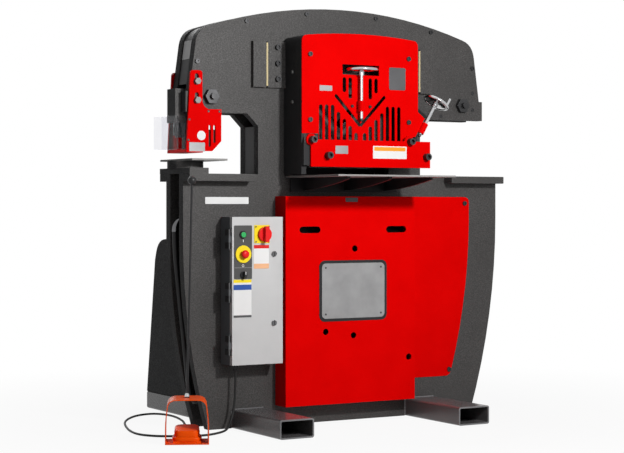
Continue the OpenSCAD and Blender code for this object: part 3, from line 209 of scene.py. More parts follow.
MATERIAL = {
    "frame_paint": hammertone(
        "frame_paint", (0.037, 0.035, 0.034), (0.085, 0.081, 0.079), (0.17, 0.165, 0.16)),
    # Darker, low-gloss copy of the frame paint for side faces: painted shade
    "shaded_side_paint": hammertone(
        "shaded_side_paint", (0.040, 0.040, 0.041), (0.085, 0.085, 0.086), (0.13, 0.13, 0.13), level=0.03),
    "tube_paint": painted(
        "tube_paint", (0.085, 0.081, 0.083), (0.110, 0.105, 0.107), (0.22, 0.32), level=0.5, bump=0.03,
        wear=(0.3, 0.3, 0.3)),
    "black_paint": painted(
        "black_paint", (0.014, 0.014, 0.015), (0.022, 0.022, 0.023), (0.40, 0.54), level=0.18,
        wear=(0.05, 0.05, 0.05)),
    "red_paint": painted(
        "red_paint", (0.67, 0.0004, 0.0004), (0.73, 0.0008, 0.0008), (0.40, 0.52), level=0.08,
        tint=(1.0, 0.05, 0.05), wear=(0.88, 0.02, 0.018)),
    "dark_steel": metal(
        "dark_steel", (0.022, 0.022, 0.023), (0.05, 0.05, 0.052), (0.32, 0.48), metallic=0.7),
    "tool_steel": metal("tool_steel", (0.42, 0.42, 0.41), (0.58, 0.575, 0.56), (0.24, 0.42), (1, 12, 1)),
    "chrome": metal("chrome", (0.42, 0.43, 0.44), (0.56, 0.565, 0.57), (0.06, 0.15)),
    # Tool steel darkened for the blades and punch: painted shade for the shadow they sit in
    "shaded_tool_steel": metal(
        "shaded_tool_steel", (0.055, 0.055, 0.054), (0.11, 0.108, 0.104), (0.3, 0.46), (1, 12, 1)),
    "ground_steel": painted(
        "ground_steel", (0.25, 0.245, 0.24), (0.32, 0.315, 0.305), (0.34, 0.5), level=0.06, bump=0.05,
        wear=(0.42, 0.42, 0.41)),
    "cut_edge": painted("cut_edge", (0.15, 0.15, 0.155), (0.22, 0.22, 0.225), (0.4, 0.55), level=0.1),
    "dark_chrome": metal("dark_chrome", (0.10, 0.10, 0.105), (0.18, 0.18, 0.185), (0.1, 0.2)),
    "zinc": metal("zinc", (0.085, 0.085, 0.082), (0.14, 0.14, 0.135), (0.36, 0.5), metallic=0.35),
    "wear_strip": painted(
        "wear_strip", (0.50, 0.41, 0.22), (0.58, 0.48, 0.27), (0.45, 0.6), wear=(0.62, 0.52, 0.32)),
    "clear_sheet": clear("clear_sheet"),
    "box_grey": painted(
        "box_grey", (0.53, 0.53, 0.53), (0.58, 0.58, 0.58), (0.42, 0.55), level=0.2, wear=(0.7, 0.7, 0.7)),
    "box_dark": painted(
        "box_dark", (0.084, 0.090, 0.098), (0.108, 0.115, 0.124), (0.42, 0.55), wear=(0.06, 0.065, 0.07)),
    "legend_black": painted(
        "legend_black", (0.060, 0.059, 0.058), (0.080, 0.079, 0.077), (0.45, 0.6), grain=500),
    "yellow_plastic": painted(
        "yellow_plastic", (0.86, 0.66, 0.012), (0.93, 0.74, 0.022), (0.36, 0.48), level=0.2,
        wear=(0.92, 0.72, 0.1)),
    "red_plastic": painted(
        "red_plastic", (0.74, 0.006, 0.008), (0.82, 0.010, 0.010), (0.28, 0.4), level=0.25,
        wear=(0.75, 0.05, 0.04)),
    "green_plastic": painted(
        "green_plastic", (0.024, 0.38, 0.095), (0.034, 0.45, 0.12), (0.26, 0.38), level=0.35),
    "black_plastic": painted(
        "black_plastic", (0.010, 0.010, 0.011), (0.018, 0.018, 0.019), (0.34, 0.5),
        wear=(0.04, 0.04, 0.04)),
    "orange_paint": painted(
        "orange_paint", (0.80, 0.074, 0.001), (0.88, 0.090, 0.002), (0.30, 0.42), level=0.2,
        tint=(1.0, 0.5, 0.35), wear=(0.85, 0.2, 0.06)),
    "hose_rubber": painted(
        "hose_rubber", (0.010, 0.010, 0.010), (0.018, 0.018, 0.018), (0.55, 0.72), grain=700, bump=0.25),
    "white_plate": painted(
        "white_plate", (0.74, 0.74, 0.735), (0.80, 0.80, 0.795), (0.4, 0.5), grain=420),
    "silver_plate": metal(
        "silver_plate", (0.24, 0.24, 0.242), (0.31, 0.31, 0.312), (0.38, 0.52), (1, 1, 14), metallic=0.3),
    "grey_plate": painted(
        "grey_plate", (0.075, 0.075, 0.078), (0.10, 0.10, 0.104), (0.38, 0.5), grain=420),
    "peach_band": painted("peach_band", (0.80, 0.42, 0.22), (0.86, 0.47, 0.26), (0.4, 0.5), grain=420),
    "blue_band": painted("blue_band", (0.020, 0.075, 0.33), (0.030, 0.095, 0.39), (0.4, 0.5), grain=420),
    "amber_band": painted("amber_band", (0.80, 0.30, 0.020), (0.86, 0.36, 0.03), (0.4, 0.5), grain=420),
    "red_band": painted("red_band", (0.60, 0.010, 0.010), (0.68, 0.014, 0.012), (0.4, 0.5), grain=420),
}


# Mesh helpers
def add_piece(name, bm, body, slot, material=None, nodes=(), sharp=35.0):
    mesh = bpy.data.meshes.new(name)
    bm.to_mesh(mesh)
    bm.free()
    for face in mesh.polygons:
        face.use_smooth = True
    mesh.set_sharp_from_angle(angle=math.radians(sharp))
    mesh.materials.append(MATERIAL[material or slot])
    piece = bpy.data.objects.new(name, mesh)
    SCENE.collection.objects.link(piece)
    weighted = piece.modifiers.new("weighted_normals", "WEIGHTED_NORMAL")
    weighted.keep_sharp = True
    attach(piece, body)
    if nodes:
        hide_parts(*nodes)
    return piece


def bevel_edges(bm, width, segments, pick=None):
    """Rounds the edges over 30 degrees, or those of them that pick chooses."""
    chosen = [
        e for e in bm.edges
        if len(e.link_faces) == 2 and e.calc_face_angle(0.0) > math.radians(30) and (pick is None or pick(e))]
    if chosen:
        bmesh.ops.bevel(
            bm, geom=chosen, offset=width, offset_type="OFFSET", segments=segments, profile=0.5,
            affect="EDGES", clamp_overlap=True)


def node_mesh(node):
    """A clean copy of a CAD node's mesh, with its flat faces whole."""
    source = frame["nodes"][node].data
    plain = bpy.data.meshes.new("plain")
    plain.from_pydata([v.co.copy() for v in source.vertices], [], [list(f.vertices) for f in source.polygons])
    bm = bmesh.new()
    bm.from_mesh(plain)
    bpy.data.meshes.remove(plain)
    bmesh.ops.remove_doubles(bm, verts=bm.verts, dist=1e-5)
    bmesh.ops.dissolve_limit(
        bm, angle_limit=math.radians(0.5), use_dissolve_boundaries=False, verts=bm.verts, edges=bm.edges,
        delimit=set())
    return bm


def dress(node, width, segments=2, before=None):
    """A piece that stands for a CAD node, with rounded edges."""
    bm = node_mesh(node)
    if before:
        before(bm)
    bevel_edges(bm, width * MM, segments)
    return add_piece("dressed_" + node, bm, NODE_BODY[node], NODE_SLOT[node], FINISH.get(node), (node,))


def turned(bm, rings, matrix, sides=24, ring=False):
    """A turned solid from (height, radius) pairs, closed by end faces or, as a ring, to its first pair."""
    loops = []
    for height, radius in rings:
        loop = []
        for i in range(sides):
            angle = 2 * math.pi * i / sides
            r = radius(angle) if callable(radius) else radius
            loop.append(bm.verts.new(matrix @ Vector((r * math.cos(angle), r * math.sin(angle), height))))
        loops.append(loop)
    for low, high in zip(loops, loops[1:] + (loops[:1] if ring else [])):
        for i in range(sides):
            j = (i + 1) % sides
            bm.faces.new((low[i], low[j], high[j], high[i]))
    if not ring:
        bm.faces.new(list(reversed(loops[0])))
        bm.faces.new(loops[-1])


def hexagon(flat):
    step = math.radians(60)
    return lambda angle: flat / math.cos((angle % step) - step / 2)


def cap_rings(r, h, socket):
    return [
        (0, r), (0.72 * h, r), (0.9 * h, 0.95 * r), (h, 0.84 * r), (h, hexagon(1.12 * socket)),
        (0.93 * h, hexagon(socket)), (0.4 * h, hexagon(socket)), (0.34 * h, hexagon(0.2 * socket))]


def button_rings(r, h, socket):
    return [
        (0, 0.97 * r), (0.12 * h, r), (0.45 * h, 0.93 * r), (0.75 * h, 0.78 * r), (0.95 * h, 0.6 * r),
        (h, hexagon(1.1 * socket)), (0.9 * h, hexagon(socket)), (0.4 * h, hexagon(socket)),
        (0.34 * h, hexagon(0.2 * socket))]


def heads(name, rings, places, body, slot, material=None, facing=TO_FRONT, sides=24, ring=False, nodes=()):
    """One piece of equal turned solids, with sizes and places in mm."""
    bm = bmesh.new()
    scaled = [(z * MM, (lambda a, f=r: f(a) * MM) if callable(r) else r * MM) for z, r in rings]
    for place in places:
        turned(bm, scaled, Matrix.Translation(mm(*place)) @ facing, sides, ring)
    return add_piece(name, bm, body, slot, material, nodes)


def repaint(piece, material, inside):
    """Gives another material to the faces whose middle and normal are inside."""
    mesh = piece.data
    mesh.materials.append(MATERIAL[material])
    for face in mesh.polygons:
        if inside(face.center, face.normal):
            face.material_index = len(mesh.materials) - 1


def rounded_outline(x, z, r, steps=6):
    points = []
    corners = (
        (x[1] - r, z[1] - r, 0), (x[0] + r, z[1] - r, 90),
        (x[0] + r, z[0] + r, 180), (x[1] - r, z[0] + r, 270))
    for cx, cz, start in corners:
        for i in range(steps + 1):
            a = math.radians(start + 90.0 * i / steps)
            points.append((cx + r * math.cos(a), cz + r * math.sin(a)))
    return points


def prism(bm, outline, y0, y1, matrix=Matrix.Identity(4), rim=0.3):
    """A plate over an XZ outline from its back y0 to its front y1, with a small bevel round the front."""
    cx = sum(p[0] for p in outline) / len(outline)
    cz = sum(p[1] for p in outline) / len(outline)
    sign = 1 if y1 > y0 else -1
    loops = []
    for y, inset in ((y0, 0.0), (y1 - sign * rim, 0.0), (y1 - sign * 0.3 * rim, 0.3 * rim), (y1, rim)):
        loop = []
        for px, pz in outline:
            dx, dz = px - cx, pz - cz
            far = max(math.hypot(dx, dz), 1e-6)
            scale = 1 - inset / far
            loop.append(bm.verts.new(matrix @ mm(cx + dx * scale, y, cz + dz * scale)))
        loops.append(loop)
    count = len(outline)
    made = []
    for low, high in zip(loops, loops[1:]):
        for i in range(count):
            j = (i + 1) % count
            made.append(bm.faces.new((low[i], low[j], high[j], high[i])))
    made.append(bm.faces.new(list(reversed(loops[0]))))
    made.append(bm.faces.new(loops[-1]))
    bmesh.ops.recalc_face_normals(bm, faces=made)


def blank_plate(
        name, x, z, y, material, body="frame", slot="box_grey", t=1.2, r=4.0, matrix=Matrix.Identity(4)):
    bm = bmesh.new()
    prism(bm, rounded_outline(x, z, r), y, y - t, matrix)
    return add_piece(name, bm, body, slot, material)


def smooth_points(points, per_span=8):
    """Points on the smooth curve through the given points."""
    ends = [2 * points[0] - points[1]] + points + [2 * points[-1] - points[-2]]
    out = []
    for i in range(1, len(ends) - 2):
        a, b, c, d = ends[i - 1:i + 3]
        for k in range(per_span):
            t = k / per_span
            out.append(0.5 * (2 * b + (c - a) * t + (2 * a - 5 * b + 4 * c - d) * t * t
                              + (3 * b - a - 3 * c + d) * t * t * t))
    out.append(points[-1])
    return out


def tube_along(bm, line, radius, sides=14):
    """A closed round tube along a line, carried along without twist. radius may follow the step."""
    loops = []
    normal = None
    for i, p in enumerate(line):
        ahead = (line[min(i + 1, len(line) - 1)] - line[max(i - 1, 0)]).normalized()
        if normal is None:
            normal = ahead.orthogonal().normalized()
        normal = (normal - ahead * normal.dot(ahead)).normalized()
        side = ahead.cross(normal)
        r = radius(i / (len(line) - 1)) if callable(radius) else radius
        loops.append([
            bm.verts.new(p + r * (normal * math.cos(a) + side * math.sin(a)))
            for a in (2 * math.pi * k / sides for k in range(sides))])
    for low, high in zip(loops, loops[1:]):
        for i in range(sides):
            j = (i + 1) % sides
            bm.faces.new((low[i], low[j], high[j], high[i]))
    bm.faces.new(list(reversed(loops[0])))
    bm.faces.new(loops[-1])


# Foot switch cord: out of the gland, down to the floor and round to the back of the foot switch
PEDAL_AT = Vector((-886, -418, 0))
PEDAL_YAW = math.radians(26)
PEDAL_OUT = Vector((math.sin(PEDAL_YAW), math.cos(PEDAL_YAW), 0))
PEDAL_BACK, LEAD_Z = 152, 18
CORD_D = 9.0
CORD_EXIT = Vector((-524, -120, 238))
CORD_LEAD = PEDAL_AT + PEDAL_BACK * PEDAL_OUT + Vector((0, 0, LEAD_Z))
CORD_ROUTE = (
    (-524, -120, 208), (-526, -120, 145), (-531, -120, 92), (-542, -124, 52), (-562, -140, 24),
    (-595, -170, 8), (-650, -210, 5), (-720, -240, 5), (-790, -230, 5), (-850, -200, 5), (-900, -160, 5),
    (-930, -100, 5), (-930, -20, 5), (-900, 100, 5), (-840, 260, 5), (-770, 380, 5), (-690, 465, 5),
    (-615, 490, 5), (-575, 445, 5), (-570, 350, 5), (-600, 215, 5), (-650, 80, 5), (-685, -40, 6),
    (-730, -145, 11))
cord_line = [CORD_EXIT] + [Vector(p) for p in CORD_ROUTE] + [
    CORD_LEAD + 70 * PEDAL_OUT - Vector((0, 0, 1)), CORD_LEAD + 25 * PEDAL_OUT, CORD_LEAD]
cord_line = [p * MM for p in cord_line]
cord_curve = bpy.data.curves.new("foot_cord", "CURVE")
cord_curve.dimensions = "3D"
cord_curve.bevel_depth = CORD_D / 2 * MM
cord_curve.bevel_resolution = 4
cord_curve.resolution_u = 12
cord_curve.use_fill_caps = True
cord_spline = cord_curve.splines.new("BEZIER")
cord_spline.bezier_points.add(len(cord_line) - 1)
for i, (knot, p) in enumerate(zip(cord_spline.bezier_points, cord_line)):
    ahead = cord_line[min(i + 1, len(cord_line) - 1)]
    behind = cord_line[max(i - 1, 0)]
    reach = (ahead - behind) / (6 if 0 < i < len(cord_line) - 1 else 3)
    knot.co = p
    knot.handle_left_type = knot.handle_right_type = "FREE"
    knot.handle_left = p - reach
    knot.handle_right = p + reach
cord_curve.materials.append(MATERIAL["hose_rubber"])
cord = bpy.data.objects.new("foot_cord", cord_curve)
SCENE.collection.objects.link(cord)
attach(cord, "frame")
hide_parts("pedal_cord")

boot = bmesh.new()
boot_rings = [(-6, 6.0), (0, 7.6), (3, 7.8)]
for k in range(5):
    at, wide, slim = 6 * k, 7.0 - 0.55 * k, 5.8 - 0.4 * k
    boot_rings += [(4 + at, wide), (7.2 + at, wide), (8 + at, slim), (9.4 + at, slim)]
boot_rings += [(36, 4.2), (37, 3.6)]
turned(
    boot, [(z * MM, r * MM) for z, r in boot_rings],
    Matrix.Translation(CORD_LEAD * MM) @ PEDAL_OUT.to_track_quat("Z", "X").to_matrix().to_4x4())
boot = add_piece("cord_boot", boot, "frame", "black_plastic")


# CAD nodes with rounded edges and their finish
def round_tube(bm):
    low, high = (Vector([f(v.co[i] for v in bm.verts) for i in range(3)]) for f in (min, max))

    def long_edge(e, outer):
        a, b = e.verts[0].co, e.verts[1].co
        along = abs((a - b).normalized().y) > 0.99
        skin = min(a.x - low.x, high.x - a.x) < 1e-4 and min(a.z - low.z, high.z - a.z) < 1e-4
        return along and skin == outer

    bevel_edges(bm, 9 * MM, 4, lambda e: long_edge(e, True))
    bevel_edges(bm, 4 * MM, 3, lambda e: long_edge(e, False))


# The blades and punch take the darkened tool steel, which is painted shade
FINISH = {
    "lower_blades": "shaded_tool_steel", "upper_blades": "shaded_tool_steel", "left_fork_tube": "tube_paint",
    "right_fork_tube": "tube_paint", "shear_table": "ground_steel", "die_table": "ground_steel",
    "upper_latch": "dark_chrome", "lower_latch": "dark_chrome", "punch": "shaded_tool_steel"}
DRESSED = {
    "front_frame_plate": 2.2, "rear_frame_plate": 2.2, "frame_spacers": 1.5, "inner_covers": 0.8,
    "table_bars": 2.0, "frame_bolts": 0.7, "gib_screws": 0.9, "lower_blades": 0.8, "die_base": 1.2,
    "punch_die": 0.8, "die_table": 1.0, "ram_beam": 1.5, "upper_blades": 0.8, "punch_coupling": 0.8,
    "punch": 0.6, "pull_yoke": 1.5, "cylinder_rod": 0.8, "cylinder_barrel": 1.0,
    "stripper_front_plate": 1.2, "stripper_rear_plate": 1.2, "clear_guard": 0.8, "shear_housing": 1.5,
    "gib_plates": 1.5, "wear_strips": 0.8, "upper_guard": 1.4, "lower_guard": 1.6, "shear_table": 1.2,
    "table_gussets": 1.0, "screw_bushes": 1.2, "vertical_screw": 0.5, "vertical_pad": 0.8,
    "inclined_screw": 0.5, "inclined_pad": 0.8, "front_cover": 1.3, "wing_cover": 1.2, "rear_cover": 1.3,
    "oil_tank": 1.2, "motor": 1.2, "motor_shaft": 0.6, "pump_block": 1.0, "control_box": 0.8,
    "control_door": 0.8, "door_hinges": 0.6, "upper_latch": 0.6, "lower_latch": 0.6, "legend_panel": 0.5,
    "yellow_plates": 0.6, "disconnect_handle": 1.2, "start_button": 1.0, "selector_knob": 0.8,
    "cord_gland": 0.6, "pedal_guard": 1.0, "pedal_switch": 1.0, "pedal_rod": 0.6}
PIECE = {node: dress(node, width) for node, width in DRESSED.items()}
for tube in ("left_fork_tube", "right_fork_tube"):
    PIECE[tube] = dress(tube, 0.9, 2, round_tube)

# Faces with another finish, found by their place in metres or by their normal. The side faces of the frame
# pieces get a darker, low-gloss copy of the frame paint, which is painted shade.
HINGE_EDGE_X = -0.5695
TUBE_ENDS_Y = (-0.4794, 0.7384)
FLANGE_Y, FLANGE_X = -0.0945, (-0.2785, 0.2865)
ARM_X, BOLT_HEAD_Y = -0.6, 0.0895
SIDE_FACE_Y = 0.6
# Pieces whose side faces take the painted shade copy of the frame paint
SHADED_SIDE_PIECES = (
    "front_frame_plate", "rear_frame_plate", "frame_spacers", "die_base", "table_bars", "ram_beam",
    "rear_cover")
repaint(PIECE["control_door"], "box_dark", lambda c, n: c.x < HINGE_EDGE_X)
for tube in ("left_fork_tube", "right_fork_tube"):
    repaint(PIECE[tube], "cut_edge", lambda c, n: c.y < TUBE_ENDS_Y[0] or c.y > TUBE_ENDS_Y[1])
repaint(
    PIECE["shear_housing"], "frame_paint",
    lambda c, n: c.y > FLANGE_Y and (c.x < FLANGE_X[0] or c.x > FLANGE_X[1]))
repaint(PIECE["frame_bolts"], "zinc", lambda c, n: c.x < ARM_X and abs(c.y) > BOLT_HEAD_Y)
for node in SHADED_SIDE_PIECES:
    repaint(PIECE[node], "shaded_side_paint", lambda c, n: abs(n.y) < SIDE_FACE_Y)


# Treadle with its static skirt
PEDAL_RIGHT = Vector((PEDAL_OUT.y, -PEDAL_OUT.x, 0))
TREAD_MIDDLE, TREAD_HALF, TREAD_LONGER = 83, 49, 8
TREAD_FRONT, TREAD_RUN, TREAD_FRONT_Z, TREAD_RISE = 26, 114, 48, 14
SKIRT_IN, SKIRT_HALF, SKIRT_Z = 51, 56, (9, 25)
ROD_Y, ROD_NUT_Z = 75, 174


def pedal_point(x, y, z):
    """A point in the foot switch's own directions, in metres."""
    return (PEDAL_AT + x * PEDAL_RIGHT + y * PEDAL_OUT + Vector((0, 0, z))) * MM


def oval(half_x, half_y, middle, steps=56, power=4.0):
    """Points round a squarish oval."""
    points = []
    for i in range(steps):
        a = 2 * math.pi * i / steps
        points.append(tuple(
            h * math.copysign(abs(c) ** (2 / power), c) + m
            for h, c, m in ((half_x, math.cos(a), 0), (half_y, math.sin(a), middle))))
    return points


def lofted(bm, loops, ring=False):
    """A skin through loops of points, closed by end faces or, as a ring, to its first loop."""
    made = [[bm.verts.new(p) for p in loop] for loop in loops]
    count = len(loops[0])
    faces = []
    for low, high in zip(made, made[1:] + (made[:1] if ring else [])):
        for i in range(count):
            j = (i + 1) % count
            faces.append(bm.faces.new((low[i], low[j], high[j], high[i])))
    if not ring:
        faces.append(bm.faces.new(list(reversed(made[0]))))
        faces.append(bm.faces.new(made[-1]))
    bmesh.ops.recalc_face_normals(bm, faces=faces)


def tread_top(y):
    return TREAD_FRONT_Z + TREAD_RISE * (y - TREAD_FRONT) / TREAD_RUN


def tread_loop(half, inset, level):
    outline = oval(half - inset, half + TREAD_LONGER - inset, TREAD_MIDDLE)
    return [pedal_point(x, y, level(y)) for x, y in outline]


tread = bmesh.new()
lofted(tread, [
    tread_loop(TREAD_HALF - 5, 0, lambda y: 24), tread_loop(TREAD_HALF - 1, 0, lambda y: 22),
    tread_loop(TREAD_HALF, 0, lambda y: 23), tread_loop(TREAD_HALF, 0.8, lambda y: 0.5 * tread_top(y) + 10),
    tread_loop(TREAD_HALF, 2, lambda y: tread_top(y) - 4),
    tread_loop(TREAD_HALF, 3.2, lambda y: tread_top(y) - 1.4), tread_loop(TREAD_HALF, 6, tread_top),
    tread_loop(TREAD_HALF, 30, lambda y: tread_top(y) + 0.8)])
add_piece("treadle_cap", tread, "pedal", "orange_paint", None, ("treadle",), 50)
skirt = bmesh.new()
lofted(skirt, [
    tread_loop(SKIRT_IN, 0, lambda y: SKIRT_Z[0]), tread_loop(SKIRT_HALF - 1, 0, lambda y: SKIRT_Z[0]),
    tread_loop(SKIRT_HALF, 0, lambda y: 11), tread_loop(SKIRT_HALF, 0, lambda y: 18),
    tread_loop(55.2, 0, lambda y: 22), tread_loop(53, 0, lambda y: 24.5),
    tread_loop(SKIRT_IN, 0, lambda y: SKIRT_Z[1])], True)
add_piece("treadle_skirt", skirt, "frame", "orange_paint", None, (), 50)
heads(
    "rod_nut", [(0, hexagon(8.5)), (6, hexagon(8.5)), (7, 8), (11, 6.5), (13.5, 4.2)],
    [tuple(pedal_point(0, ROD_Y, ROD_NUT_Z) / MM)], "frame", "chrome", facing=Matrix.Identity(4))

# Hydraulic hoses with crimped ends
HOSE_D = 20
HOSE_FROM_Y, HOSE_FROM_Z = 321, 510
HOSE_TO_X, HOSE_TO_Y = 40, 95
hoses = bmesh.new()
for x, to_z in ((40, 725), (100, 350)):
    rise = to_z - HOSE_FROM_Z
    middle = (HOSE_FROM_Y + HOSE_TO_Y) / 2
    route = [
        mm(x, HOSE_FROM_Y, HOSE_FROM_Z), mm(x, HOSE_FROM_Y - 14, HOSE_FROM_Z),
        mm(x, HOSE_FROM_Y - 28, HOSE_FROM_Z), mm(x, middle + 25, HOSE_FROM_Z + 0.2 * rise),
        mm((x + HOSE_TO_X) / 2, middle, HOSE_FROM_Z + 0.5 * rise),
        mm(HOSE_TO_X, middle - 25, HOSE_FROM_Z + 0.8 * rise), mm(HOSE_TO_X, HOSE_TO_Y + 28, to_z),
        mm(HOSE_TO_X, HOSE_TO_Y + 14, to_z), mm(HOSE_TO_X, HOSE_TO_Y, to_z)]
    tube_along(hoses, smooth_points(route), HOSE_D / 2 * MM, 20)
    for y, z, hx, way in ((HOSE_FROM_Y, HOSE_FROM_Z, x, TO_FRONT), (HOSE_TO_Y, to_z, HOSE_TO_X, TO_BACK)):
        ribs = [(3 + 2.5 * k, 12.5 - 0.9 * (k % 2)) for k in range(8)]
        crimp = [(0, 11.5), (1, 12.5)] + ribs + [(23, 12), (24, 10.5)]
        turned(hoses, [(h * MM, r * MM) for h, r in crimp], Matrix.Translation(mm(hx, y, z)) @ way)
add_piece("hose_pair", hoses, "frame", "hose_rubber", None, ("hydraulic_hoses",))

# Blank plates where the machine carries its labels, and black plates in the latch slots that are painted
# shade
PLATE_SLOT = {
    "white_plate": "box_grey", "silver_plate": "box_grey", "grey_plate": "legend_black",
    "blue_band": "box_grey", "amber_band": "yellow_plastic", "red_band": "red_plastic",
    "peach_band": "box_grey", "yellow_plastic": "yellow_plastic", "black_paint": "black_paint"}
GUARD_Y, LOWER_Y, COVER_Y, PLATE_Y, STRIPPER_Y = -229, -254, -166, -79, -89.3
DOOR_Y, LEGEND_Y, LATCH_Y, SELECTOR_Y, ISOLATOR_Y = -177.3, -179.3, -183.6, -199.6, -184.3
# Each row: X, Z, face behind, corner radius, thickness, material, body
PLATES = {
    "guard_plate": ((-195, -136), (1371, 1393), GUARD_Y, 2, 0.8, "silver_plate", "frame"),
    "guard_tall_plate": ((141, 223), (1385, 1479), GUARD_Y, 8, 1.0, "grey_plate", "frame"),
    "lower_guard_plate": ((-135, -75), (1114, 1147), LOWER_Y, 2, 0.8, "silver_plate", "frame"),
    "lower_guard_wide_plate": ((46, 212), (1097, 1149), LOWER_Y, 3, 0.8, "white_plate", "frame"),
    "lower_guard_band": ((52, 206), (1129, 1145), LOWER_Y - 0.8, 1, 0.3, "amber_band", "frame"),
    "side_plate": ((-640, -443), (909, 937), PLATE_Y, 3, 1.2, "white_plate", "frame"),
    "cover_plate_rim": ((-160, 169), (424, 676), COVER_Y, 26, 2.0, "black_paint", "frame"),
    "cover_plate": ((-148, 157), (436, 664), COVER_Y - 2, 18, 1.2, "silver_plate", "frame"),
    "cover_small_plate": ((-33, 27), (918, 936), COVER_Y, 2, 0.8, "grey_plate", "frame"),
    "stripper_plate": ((-716, -646), (1119, 1155), STRIPPER_Y, 2, 0.8, "silver_plate", "stripper"),
    "stripper_disc": ((-681, -643), (1164, 1202), STRIPPER_Y, 18.9, 0.8, "white_plate", "stripper"),
    "door_plate": ((-563, -482), (455, 606), DOOR_Y, 2, 0.8, "white_plate", "door"),
    "door_plate_top": ((-563, -482), (594, 606), DOOR_Y - 0.8, 1, 0.3, "yellow_plastic", "door"),
    "door_plate_band": ((-563, -482), (565, 586), DOOR_Y - 0.8, 1, 0.3, "blue_band", "door"),
    "door_plate_foot": ((-563, -482), (455, 464), DOOR_Y - 0.8, 1, 0.3, "grey_plate", "door"),
    "door_side_plate": ((-471, -402), (649, 744), DOOR_Y, 2, 0.8, "white_plate", "door"),
    "door_side_plate_top": ((-471, -402), (730, 744), DOOR_Y - 0.8, 1, 0.3, "red_band", "door"),
    "door_side_plate_foot": ((-471, -402), (649, 669), DOOR_Y - 0.8, 1, 0.3, "peach_band", "door"),
    "legend_line": ((-560, -481), (653.2, 654.6), LEGEND_Y, 0.3, 0.3, "silver_plate", "door"),
    "start_mark": ((-521.4, -518.6), (756, 766), LEGEND_Y, 0.5, 0.3, "white_plate", "door"),
    # Black plates in the latch slots: painted shade of the slot recesses
    "latch_slot_shade_high": ((-380.6, -377.4), (702, 714), LATCH_Y, 0.5, 0.3, "black_paint", "upper_latch_body"),
    "latch_slot_shade_low": ((-380.6, -377.4), (423, 435), LATCH_Y, 0.5, 0.3, "black_paint", "lower_latch_body")}
for name, (x, z, y, r, t, material, body) in PLATES.items():
    blank_plate(name, x, z, y, material, body, PLATE_SLOT[material], t, r)
INNER_COVER_AT, INNER_COVER_LEAN = (-681.4, 1, 1531), 0.14
cover_slope = Vector((INNER_COVER_LEAN, 0, 1)).normalized()
cover_turn = Matrix((Vector((0, -1, 0)), Vector((cover_slope.z, 0, -cover_slope.x)), cover_slope))
blank_plate(
    "inner_cover_plate", (-33, 33), (-38, 38), 0, "silver_plate", t=0.8, r=3,
    matrix=Matrix.Translation(mm(*INNER_COVER_AT)) @ cover_turn.transposed().to_4x4())
heads("cover_plate_rivets", [(0, 4.2), (0.8, 4), (1.8, 2.8), (2.2, 1.2)], [
    (x, COVER_Y - 3.2, z) for x in (-130, 139) for z in (454, 646)], "frame", "dark_steel", sides=16)

# Controls on the door
START_X, START_Z = -522, 786
STOP_X, STOP_Z, STOP_RING_Y, STOP_CAP_Y = -521, 708, -184.4, -192.4
PIN_X, PIN_Y, PIN_Z = -579, -172.2, (346, 556, 766)
heads(
    "start_bezel", [(0, 15.5), (4, 15.5), (5.5, 14.5), (5.5, 11.8), (0, 11.8)],
    [(START_X, LEGEND_Y, START_Z)], "door", "black_plastic", ring=True, sides=32)
heads(
    "stop_mark", [(0, 5.5), (0.4, 5.3), (0.4, 3.7), (0, 3.5)], [(STOP_X, LEGEND_Y, STOP_Z - 46)], "door",
    "box_grey", "white_plate", ring=True, sides=24)
heads("isolator_plate_screws", [(0, 2.9), (0.9, 2.7), (1.6, 1.8), (1.7, hexagon(1.2)), (1.0, hexagon(1.1))], [
    (x, ISOLATOR_Y, z) for x in (-464, -405) for z in (757, 818)], "door", "dark_steel", "zinc", sides=18)
blank_plate(
    "selector_mark", (-520.3, -517.7), (626, 638.5), SELECTOR_Y, "white_plate", "selector", "box_grey", 0.4,
    0.8)
# Thin light rods at the hinges: painted highlight of the hinge pins, laid where their highlight line falls
hinge_pin_highlights = bmesh.new()
for z in PIN_Z:
    turned(hinge_pin_highlights, [(h * MM, r * MM) for h, r in ((-42, 0.6), (-41, 1.0), (41, 1.0), (42, 0.6))],
           Matrix.Translation(mm(PIN_X, PIN_Y, z)), 14)
add_piece("hinge_pin_highlights", hinge_pin_highlights, "frame", "dark_steel", "cut_edge")
heads(
    "stop_neck", [(-18, 8), (6, 8), (6, 10), (7, 10.4), (8, 10)], [(STOP_X, STOP_RING_Y, STOP_Z)], "stop",
    "black_plastic")
heads("stop_cap", [
    (0, 10), (0.6, 14), (2, 16), (6, 16.8), (10, 16), (13.5, 13.5), (15.8, 9.5), (16.8, 4)],
    [(STOP_X, STOP_CAP_Y, STOP_Z)], "stop", "red_plastic", nodes=("estop_button",), sides=32)

# Black plate behind the stripper slots as painted shade, hood over the rear of the flat bar shear and weld
# beads
SLOT_SHADE_Y, SLOT_SHADE_T = -77.4, 1.9
blank_plate(
    "shade_behind_slots", (-642, -588), (1138, 1208), SLOT_SHADE_Y, "black_paint", "stripper", "black_paint",
    SLOT_SHADE_T, 2)
HOOD_X, HOOD_TOP, HOOD_FOOT, HOOD_BACK, REAR_Y, HOOD_T = (-240, 282), 1092, 998, 152, 79, 2.5
HOOD_LIP, HOOD_BEND, CHEEK_GAP = 22, 6, 0.4


def run_along_x(bm, section, x):
    """A solid over a (Y, Z) section, from x[0] to x[1]."""
    loops = [[bm.verts.new(mm(at, y, z)) for y, z in section] for at in x]
    faces = [bm.faces.new(loops[0]), bm.faces.new(list(reversed(loops[1])))]
    for i in range(len(section)):
        j = (i + 1) % len(section)
        faces.append(bm.faces.new((loops[0][j], loops[0][i], loops[1][i], loops[1][j])))
    bmesh.ops.recalc_face_normals(bm, faces=faces)


